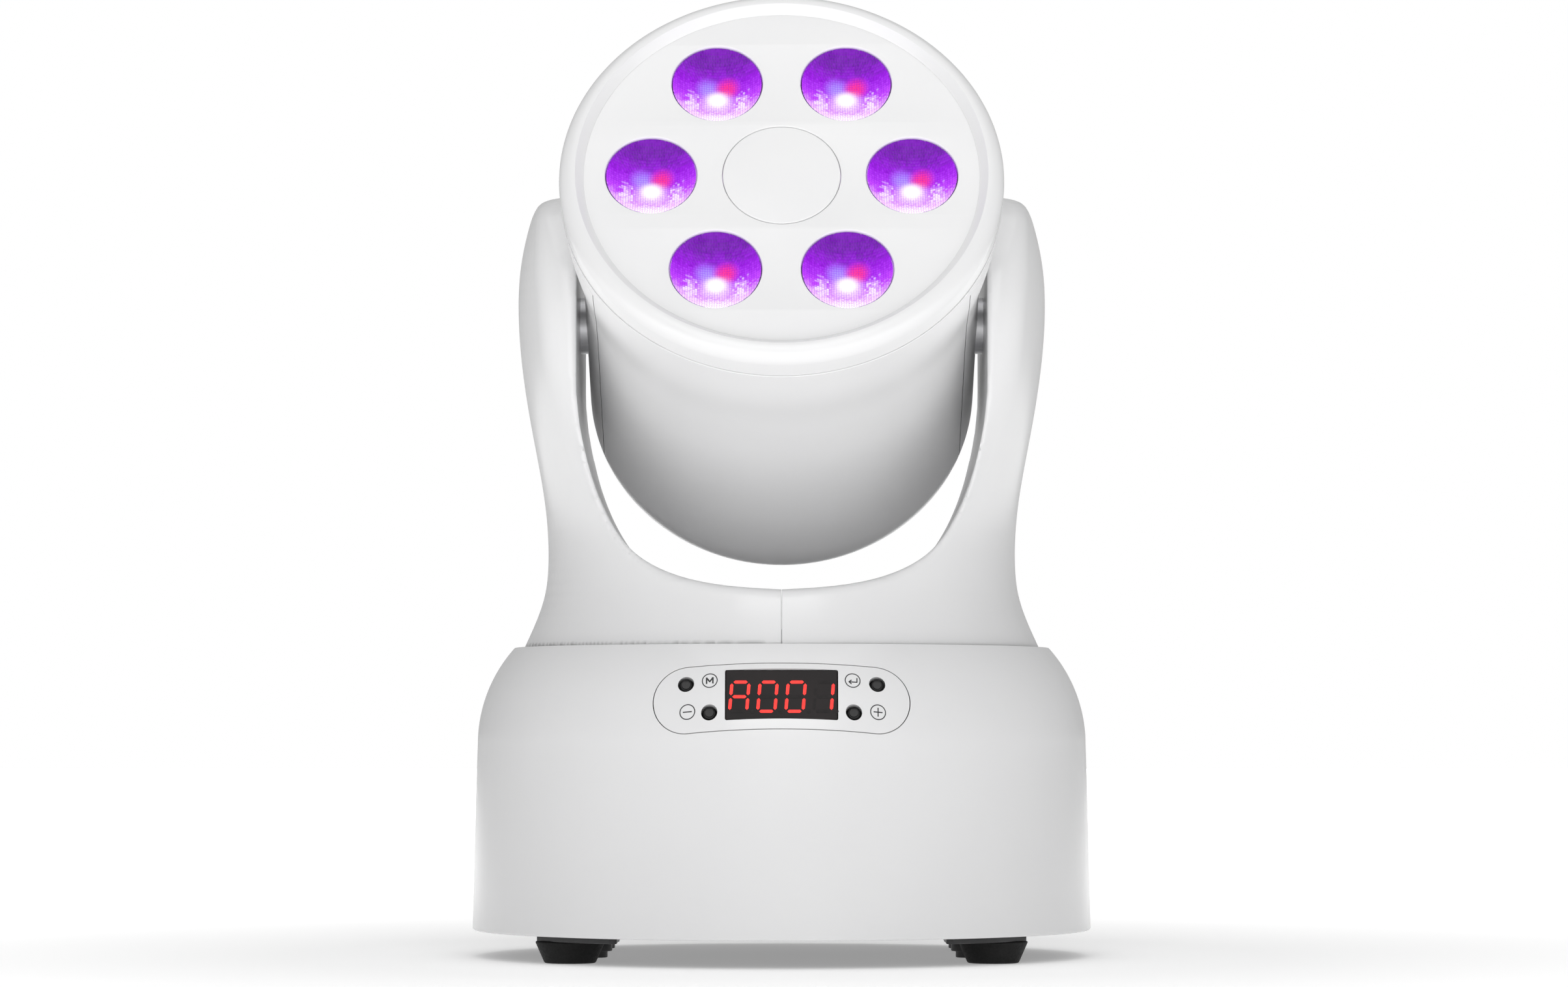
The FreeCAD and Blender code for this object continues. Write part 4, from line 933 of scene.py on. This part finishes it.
def field_gradient(p, step=0.05):
    parts = []
    for axis in range(3):
        shift = np.zeros(3)
        shift[axis] = step
        ahead = yoke_field(*(p + shift).T)
        behind = yoke_field(*(p - shift).T)
        parts.append((ahead - behind) / (2 * step))
    return np.stack(parts, axis=1)


def field_surface(low, high, cell):
    """The zero surface of the yoke's field as quads, by surface nets, with vertices settled onto it."""
    axes = [np.arange(lo, hi + cell, cell) for lo, hi in zip(low, high)]
    gx, gy, gz = np.meshgrid(*axes, indexing="ij")
    value = yoke_field(gx, gy, gz)
    inside = value < 0
    shape = np.array(value.shape) - 1
    total = np.zeros((*shape, 3))
    hits = np.zeros(tuple(shape))
    corners = [(i, j, k) for i in (0, 1) for j in (0, 1) for k in (0, 1)]
    for a in corners:
        for axis in range(3):
            if a[axis]:
                continue
            b = tuple(c + (n == axis) for n, c in enumerate(a))
            sa = tuple(slice(c, c + s) for c, s in zip(a, shape))
            sb = tuple(slice(c, c + s) for c, s in zip(b, shape))
            cross = inside[sa] != inside[sb]
            va, vb = value[sa], value[sb]
            step = np.where(cross, va / np.where(cross, va - vb, 1.0), 0.0)
            point = np.zeros((*shape, 3))
            for n in range(3):
                point[..., n] = a[n] + (step if n == axis else 0.0)
            total += point * cross[..., None]
            hits += cross
    active = hits > 0
    index = np.full(tuple(shape), -1)
    index[active] = np.arange(active.sum())
    cells = np.argwhere(active)
    points = (cells + total[active] / hits[active][:, None]) * cell + np.array(low)
    faces = []
    for axis in range(3):
        o1, o2 = [n for n in range(3) if n != axis]
        found = np.argwhere(np.diff(inside, axis=axis))
        for o in (o1, o2):
            found = found[(found[:, o] > 0) & (found[:, o] < shape[o])]
        quads = []
        for d1, d2 in ((0, 0), (1, 0), (1, 1), (0, 1)):
            c = found.copy()
            c[:, o1] -= d1
            c[:, o2] -= d2
            quads.append(index[c[:, 0], c[:, 1], c[:, 2]])
        faces += np.stack(quads, axis=1).tolist()
    for _ in range(6):
        slope = field_gradient(points)
        size = np.maximum((slope**2).sum(1), 0.05)
        move = slope * (yoke_field(*points.T) / size)[:, None]
        length = np.linalg.norm(move, axis=1)[:, None]
        points = points - move * np.minimum(1, 0.5 * cell / np.maximum(length, 1e-9))
    return points, faces


def make_yoke():
    """Two moulded halves that meet in a fine groove on the middle plane."""
    cell = 1.1
    points, faces = field_surface((-2.2 * cell, -76, YOKE_BOTTOM - 2), (77, 76, YOKE_TOP + 2), cell)
    seam, chamfer = 0.06, 0.2
    for side, node_name in ((1, "yoke_shell_right"), (-1, "yoke_shell_left")):
        mesh = bpy.data.meshes.new("yoke_half")
        mesh.from_pydata(points.tolist(), [], faces)
        work = bmesh.new()
        work.from_mesh(mesh)
        bmesh.ops.recalc_face_normals(work, faces=work.faces)
        everything = list(work.verts) + list(work.edges) + list(work.faces)
        bmesh.ops.bisect_plane(
            work, geom=everything, plane_co=(seam + chamfer, 0, 0), plane_no=(1, 0, 0), clear_inner=True,
        )
        rim = [e for e in work.edges if e.is_boundary]
        rim_faces = bmesh.ops.extrude_edge_only(work, edges=rim)
        new = [v for v in rim_faces["geom"] if isinstance(v, bmesh.types.BMVert)]
        centre_z = (YOKE_BOTTOM + YOKE_FOOT_TOP) / 2
        for v in new:
            v.co.x = seam
            v.co.y -= math.copysign(min(chamfer, abs(v.co.y)), v.co.y) if abs(v.co.y) > 55 else 0
            v.co.z += math.copysign(min(chamfer, 1.0), centre_z - v.co.z) if abs(v.co.y) <= 55 else 0
        loop = [e for e in work.edges if e.is_boundary]
        bmesh.ops.holes_fill(work, edges=loop, sides=0)
        bmesh.ops.recalc_face_normals(work, faces=work.faces)
        work.to_mesh(mesh)
        work.free()
        co = np.array([v.co for v in mesh.vertices])
        slope = field_gradient(co)
        slope /= np.maximum(np.linalg.norm(slope, axis=1)[:, None], 1e-9)
        normals = []
        for face in mesh.polygons:
            flat = np.array(face.normal)
            middle_x = face.center.x
            for v in face.vertices:
                exact = middle_x > seam + chamfer and slope[v] @ flat > 0.5
                normals.append(tuple(slope[v]) if exact else tuple(flat))
        mesh.shade_smooth()
        mesh.normals_split_custom_set(normals)
        if side < 0:
            mesh.transform(Matrix.Scale(-1, 4, (1, 0, 0)))
            mesh.flip_normals()
        mesh.transform(TO_ROW)
        mesh.name = node_name + "_skin"
        settle(add_object(node_name + "_skin", mesh, WHITE), "yoke", "white_shell", node_name)


# ---------------------------------------------------------------- head

def at_depth(depth):
    return depth - AXIS_DEPTH


def head_profile():
    """The barrel's outside, from behind the ring to the flat tail."""
    side = [(r, at_depth(depth)) for r, depth in sample(HEAD_SIDE, 2.0)]
    tail_y = at_depth(HEAD_LENGTH - TAIL_ROUND)
    last = side[-1][1]
    side += [(WAIST_R, last + (tail_y - last) * k / 12) for k in range(1, 13)]
    return side + arc(WAIST_R - TAIL_ROUND, tail_y, TAIL_ROUND, math.pi / 2, TAIL_STEPS)


def head_section():
    """The barrel's wall as a closed outline, open in front and round the grille."""
    outside = head_profile()
    back = outside[-1][1]
    inside = [(r - WALL, y) for r, y in outside[:-TAIL_STEPS]]
    tail_y = at_depth(HEAD_LENGTH - TAIL_ROUND)
    inside += arc(WAIST_R - TAIL_ROUND, tail_y, TAIL_ROUND - WALL, math.pi / 2, TAIL_STEPS)
    outline = outside + [(GRILLE_R, back), (GRILLE_R, back - WALL)] + inside[::-1]
    radii = [0.0] * len(outline)
    radii[0] = 0.25
    radii[len(outside)] = 0.3
    return rounded(outline, radii, 4)


def cover_mesh(side, ease):
    """The block that cuts a side cover out of the barrel, smaller by ease all round."""
    low_y, high_y = at_depth(COVER_FRONT) + ease, at_depth(COVER_BACK) - ease
    half = COVER_HALF - ease
    outline = rounded([(low_y, -half), (high_y, -half), (high_y, half), (low_y, half)], 3.0)
    low, high = sorted((side * (COVER_X + ease), side * 80.0))
    return prism_mesh("cover", outline, low, high, TO_HEAD, axes="yzx")


def make_barrel():
    shell = turned_mesh("head_barrel", head_section(), 360, TO_HEAD, "Y")
    for side in (-1, 1):
        shell = carve(shell, cover_mesh(side, 0), "DIFFERENCE")
    turned_normals(shell, head_profile()[1:-1], TO_HEAD, "Y")
    barrel = add_object("head_barrel", shell, WHITE_HEAD)
    settle(barrel, "head", "white_head", "head_shell_upper", "head_shell_lower")
    for side, name in ((-1, "side_cover_left"), (1, "side_cover_right")):
        cover = turned_mesh(name + "_skin", head_section(), 360, TO_HEAD, "Y")
        cover = carve(cover, cover_mesh(side, 0.15), "INTERSECT")
        low, high = sorted((side * 40.0, side * 80.0))
        hole = prism_mesh("shaft_hole", circle(SHAFT_HOLE_R), low, high, TO_HEAD, axes="yzx")
        cover = carve(cover, hole, "DIFFERENCE")
        turned_normals(cover, head_profile()[1:-1], TO_HEAD, "Y")
        settle(add_object(name + "_skin", cover, WHITE_HEAD), "head", "white_head", name)


def make_ring():
    front, back, face = at_depth(-RING_PROUD), at_depth(RING_BACK), at_depth(0)
    outside = HEAD_R - 0.03
    outline = [
        (HEAD_R - 0.4, back), (outside, at_depth(1.9)), (outside, front), (FACE_R + RING_PROUD, front),
        (FACE_R, face), (HEAD_R - 3.0, face), (HEAD_R - 3.0, back),
    ]
    section = rounded(outline, [0.0, 0.0, RING_ROUND - 0.01, 0.19, 0.15, 0.0, 0.0], 12)
    mesh = turned_mesh("ring", section, 360, TO_HEAD, "Y")
    smooth(mesh, 35)
    settle(add_object("ring_front", mesh, WHITE_HEAD), "head", "white_head", "front_ring")


def lens_places():
    turns = [2 * math.pi * i / LENS_COUNT for i in range(LENS_COUNT)]
    return [(LENS_PITCH_R * math.cos(a), LENS_PITCH_R * math.sin(a)) for a in turns]


def filled_plate(name, outline, holes, low, high, edge, place):
    """A flat plate with holes and rounded edges.

    The outlines lie in the X-Z plane; low and high are depths.
    """
    curve = bpy.data.curves.new(name, "CURVE")
    curve.dimensions = "2D"
    curve.fill_mode = "BOTH"
    for points in [outline] + holes:
        spline = curve.splines.new("POLY")
        spline.points.add(len(points) - 1)
        for point, (u, v) in zip(spline.points, points):
            point.co = (u, v, 0, 1)
        spline.use_cyclic_u = True
    curve.extrude = (high - low) / 2 - edge
    curve.bevel_depth = edge
    curve.bevel_resolution = 3
    curve.offset = -edge
    holder = bpy.data.objects.new(name, curve)
    scene.collection.objects.link(holder)
    bpy.context.view_layer.update()
    mesh = bpy.data.meshes.new_from_object(holder.evaluated_get(bpy.context.evaluated_depsgraph_get()))
    bpy.data.objects.remove(holder)
    middle = Matrix.Translation((0, at_depth((low + high) / 2), 0))
    mesh.transform(place @ (middle @ Matrix.Rotation(math.radians(90), 4, "X")))
    work = bmesh.new()
    work.from_mesh(mesh)
    bmesh.ops.remove_doubles(work, verts=work.verts, dist=0.002 * MM)
    bmesh.ops.recalc_face_normals(work, faces=work.faces)
    work.to_mesh(mesh)
    work.free()
    mesh.name = name
    return mesh


def make_face():
    """The face plate: a disc with six rounded lens holes and a seat for the cap."""
    holes = [circle(LENS_R, x, z, 96) for x, z in lens_places()] + [circle(CAP_DISC_R, steps=144)]
    plate = filled_plate("face_disc", circle(FACE_DISC_R, steps=240), holes, 0, 2.4, 0.35, TO_HEAD)
    smooth(plate, 40)
    settle(add_object("face_disc", plate, WHITE_FACE), "head", "white_face", "face_plate")
    radius = CAP_DISC_R - 0.15
    outline = [(0, at_depth(0)), (radius, at_depth(0)), (radius, at_depth(1.2)), (0, at_depth(1.2))]
    cap = turned_mesh("cap_disc", rounded(outline, [0, 0.35, 0, 0], 6), 180, TO_HEAD, "Y")
    smooth(cap, 35)
    settle(add_object("cap_disc", cap, WHITE_FACE), "head", "white_face", "centre_cap")


def bowl_depth(r):
    """Depth of the lens's hollow front below its rim."""
    s = min(r / LENS_R, 1.0)
    return 6.2 * (1 - s**2.4)


def make_lenses():
    """Six faceted bowls. Each keeps its own axes, so its colours follow it."""
    pitch, rim = FACET_PITCH, LENS_RIM_R
    points, faces = [], []
    seen = {}

    def vertex(u, v, dip):
        key = (round(u, 3), round(v, 3))
        if key not in seen:
            r = math.hypot(u, v)
            if r > rim:
                u, v = u * rim / r, v * rim / r
                r = rim
            seen[key] = len(points)
            points.append((u, 0.25 + bowl_depth(r) + dip, v))
        return seen[key]

    side = pitch / math.sqrt(3)
    rows = int(rim / (pitch * math.sqrt(3) / 2)) + 2
    for j in range(-rows, rows + 1):
        for i in range(-rows, rows + 1):
            cu = pitch * (i + 0.5 * (j % 2))
            cv = pitch * math.sqrt(3) / 2 * j
            if math.hypot(cu, cv) > rim + 0.2:
                continue
            middle = vertex(cu, cv, 0.16)
            for k in range(6):
                a0 = math.pi / 6 + math.pi / 3 * k
                a1 = a0 + math.pi / 3
                p = vertex(cu + side * math.cos(a0), cv + side * math.sin(a0), 0)
                q = vertex(cu + side * math.cos(a1), cv + side * math.sin(a1), 0)
                if len({middle, p, q}) == 3:
                    faces.append([middle, p, q])
    for number, (x, z) in enumerate(lens_places()):
        mesh = bpy.data.meshes.new(f"lens_{number + 1}")
        mesh.from_pydata([(px * MM, py * MM, pz * MM) for px, py, pz in points], [], faces)
        mesh.materials.append(LENS)
        work = bmesh.new()
        work.from_mesh(mesh)
        bmesh.ops.dissolve_degenerate(work, dist=0.01 * MM, edges=work.edges)
        bmesh.ops.recalc_face_normals(work, faces=work.faces)
        work.normal_update()
        if sum(f.normal.y for f in work.faces) > 0:
            bmesh.ops.reverse_faces(work, faces=work.faces)
        work.to_mesh(mesh)
        work.free()
        lens = bpy.data.objects.new(f"lens_{number + 1}", mesh)
        scene.collection.objects.link(lens)
        lens.matrix_world = TO_HEAD @ Matrix.Translation((x, at_depth(0), z)) @ Matrix.Scale(1 / MM, 4)
        settle(lens, "head", "lens", *(["lenses"] if number == 0 else []))


# ---------------------------------------------------------------- CAD nodes that stay

SOFTENED = (
    "rear_panel", "power_inlet", "fuse_holder", "data_input", "data_output", "foot_rails",
    "bracket_sockets", "tail_grille",
)


def dress_frame():
    """Procedural finishes and softened edges for the CAD nodes that show."""
    for entry in frame["record"]["subparts"]:
        made = frame["nodes"][entry["node"]]
        for place in made.material_slots:
            place.link = "OBJECT"
            place.material = SLOT_FINISH[entry["material_slot"]]
        if entry["node"] in SOFTENED:
            weld = made.modifiers.new("weld", "WELD")
            weld.merge_threshold = 0.002 * MM
            edges = made.modifiers.new("edges", "BEVEL")
            edges.width = 0.25 * MM
            edges.segments = 2
            edges.limit_method = "ANGLE"
            edges.angle_limit = math.radians(50)


# ---------------------------------------------------------------- stage

def make_stage():
    """A pale floor that fades into a white surround, with a painted glow that is faint close to the object,
    deepening the shade round it, and full further out; soft boxes in front and above, and the camera.
    """
    points = [(-4, -4, 0), (4, -4, 0), (4, 8, 0), (-4, 8, 0)]
    mesh = bpy.data.meshes.new("floor")
    mesh.from_pydata(points, [], [(0, 1, 2, 3)])
    material, tree, shader, vector = start_material("pale_floor")
    tone = two_tone(tree, noise(tree, vector, 3.0), (0.90, 0.90, 0.90), (0.92, 0.92, 0.92))
    tree.links.new(tone, shader.inputs["Base Color"])
    shader.inputs["Roughness"].default_value = 0.7
    away = node(tree, "ShaderNodeVectorMath", operation="LENGTH")
    tree.links.new(vector, away.inputs[0])
    # Painted light: the floor glows faintly near the object, so the shade round the base looks deeper, and
    # fully further out, so the far floor reads white.
    lift = remap(tree, away.outputs["Value"], 0.14, 0.7, *FLOOR_GLOW)
    tree.links.new(lift, shader.inputs["Emission Strength"])
    shader.inputs["Emission Color"].default_value = (1, 1, 1, 1)
    add_object("floor", mesh, material)

    world = bpy.data.worlds.new("studio")
    scene.world = world
    world.use_nodes = True
    tree = world.node_tree
    back = tree.nodes["Background"]
    back.inputs["Color"].default_value = (1, 1, 1, 1)
    seen = tree.nodes.new("ShaderNodeLightPath")
    level = tree.nodes.new("ShaderNodeMapRange")
    level.inputs["To Max"].default_value = 1.0
    tree.links.new(seen.outputs["Is Camera Ray"], level.inputs["Value"])
    heading = tree.nodes.new("ShaderNodeTexCoord")
    split = tree.nodes.new("ShaderNodeSeparateXYZ")
    tree.links.new(heading.outputs["Generated"], split.inputs["Vector"])
    sideways = node(tree, "ShaderNodeMath", operation="ABSOLUTE")
    tree.links.new(split.outputs["X"], sideways.inputs[0])
    dim = remap(tree, sideways.outputs["Value"], 0.0, 1.0, *SURROUND)
    tree.links.new(dim, level.inputs["To Min"])
    tree.links.new(level.outputs["Result"], back.inputs["Strength"])

    def softbox(name, place, target, size, power):
        light = bpy.data.lights.new(name, "AREA")
        light.shape = "RECTANGLE"
        light.size, light.size_y = size
        light.energy = power
        lamp = bpy.data.objects.new(name, light)
        scene.collection.objects.link(lamp)
        lamp.location = place
        aim = Vector(target) - Vector(place)
        lamp.rotation_euler = aim.to_track_quat("-Z", "Y").to_euler()

    softbox("top_box", (0.0, -0.1, 1.5), (0, 0, 0.1), (1.2, 1.2), 4.2)
    softbox("front_box", (0.0, -2.2, 1.2), (0, 0, 0.13), (1.6, 1.6), 16.5)
    softbox("floor_card", (0.0, -0.6, 0.004), (0, -0.6, 1), (1.4, 0.6), 1.4)

    camera = bpy.data.cameras.new("camera")
    camera.lens = CAMERA_LENS
    camera.sensor_width = 36.0
    camera.clip_start = 0.05
    camera.clip_end = 30.0
    eye = bpy.data.objects.new("camera", camera)
    scene.collection.objects.link(eye)
    eye.location = CAMERA_PLACE
    eye.rotation_euler = (math.radians(90 + CAMERA_RISE), 0, 0)
    scene.camera = eye
    scene.view_settings.view_transform = "Standard"


make_stage()
make_base()
make_panel()
make_icons()
make_display()
make_buttons()
make_feet()
make_yoke()
make_barrel()
make_ring()
make_face()
make_lenses()
dress_frame()
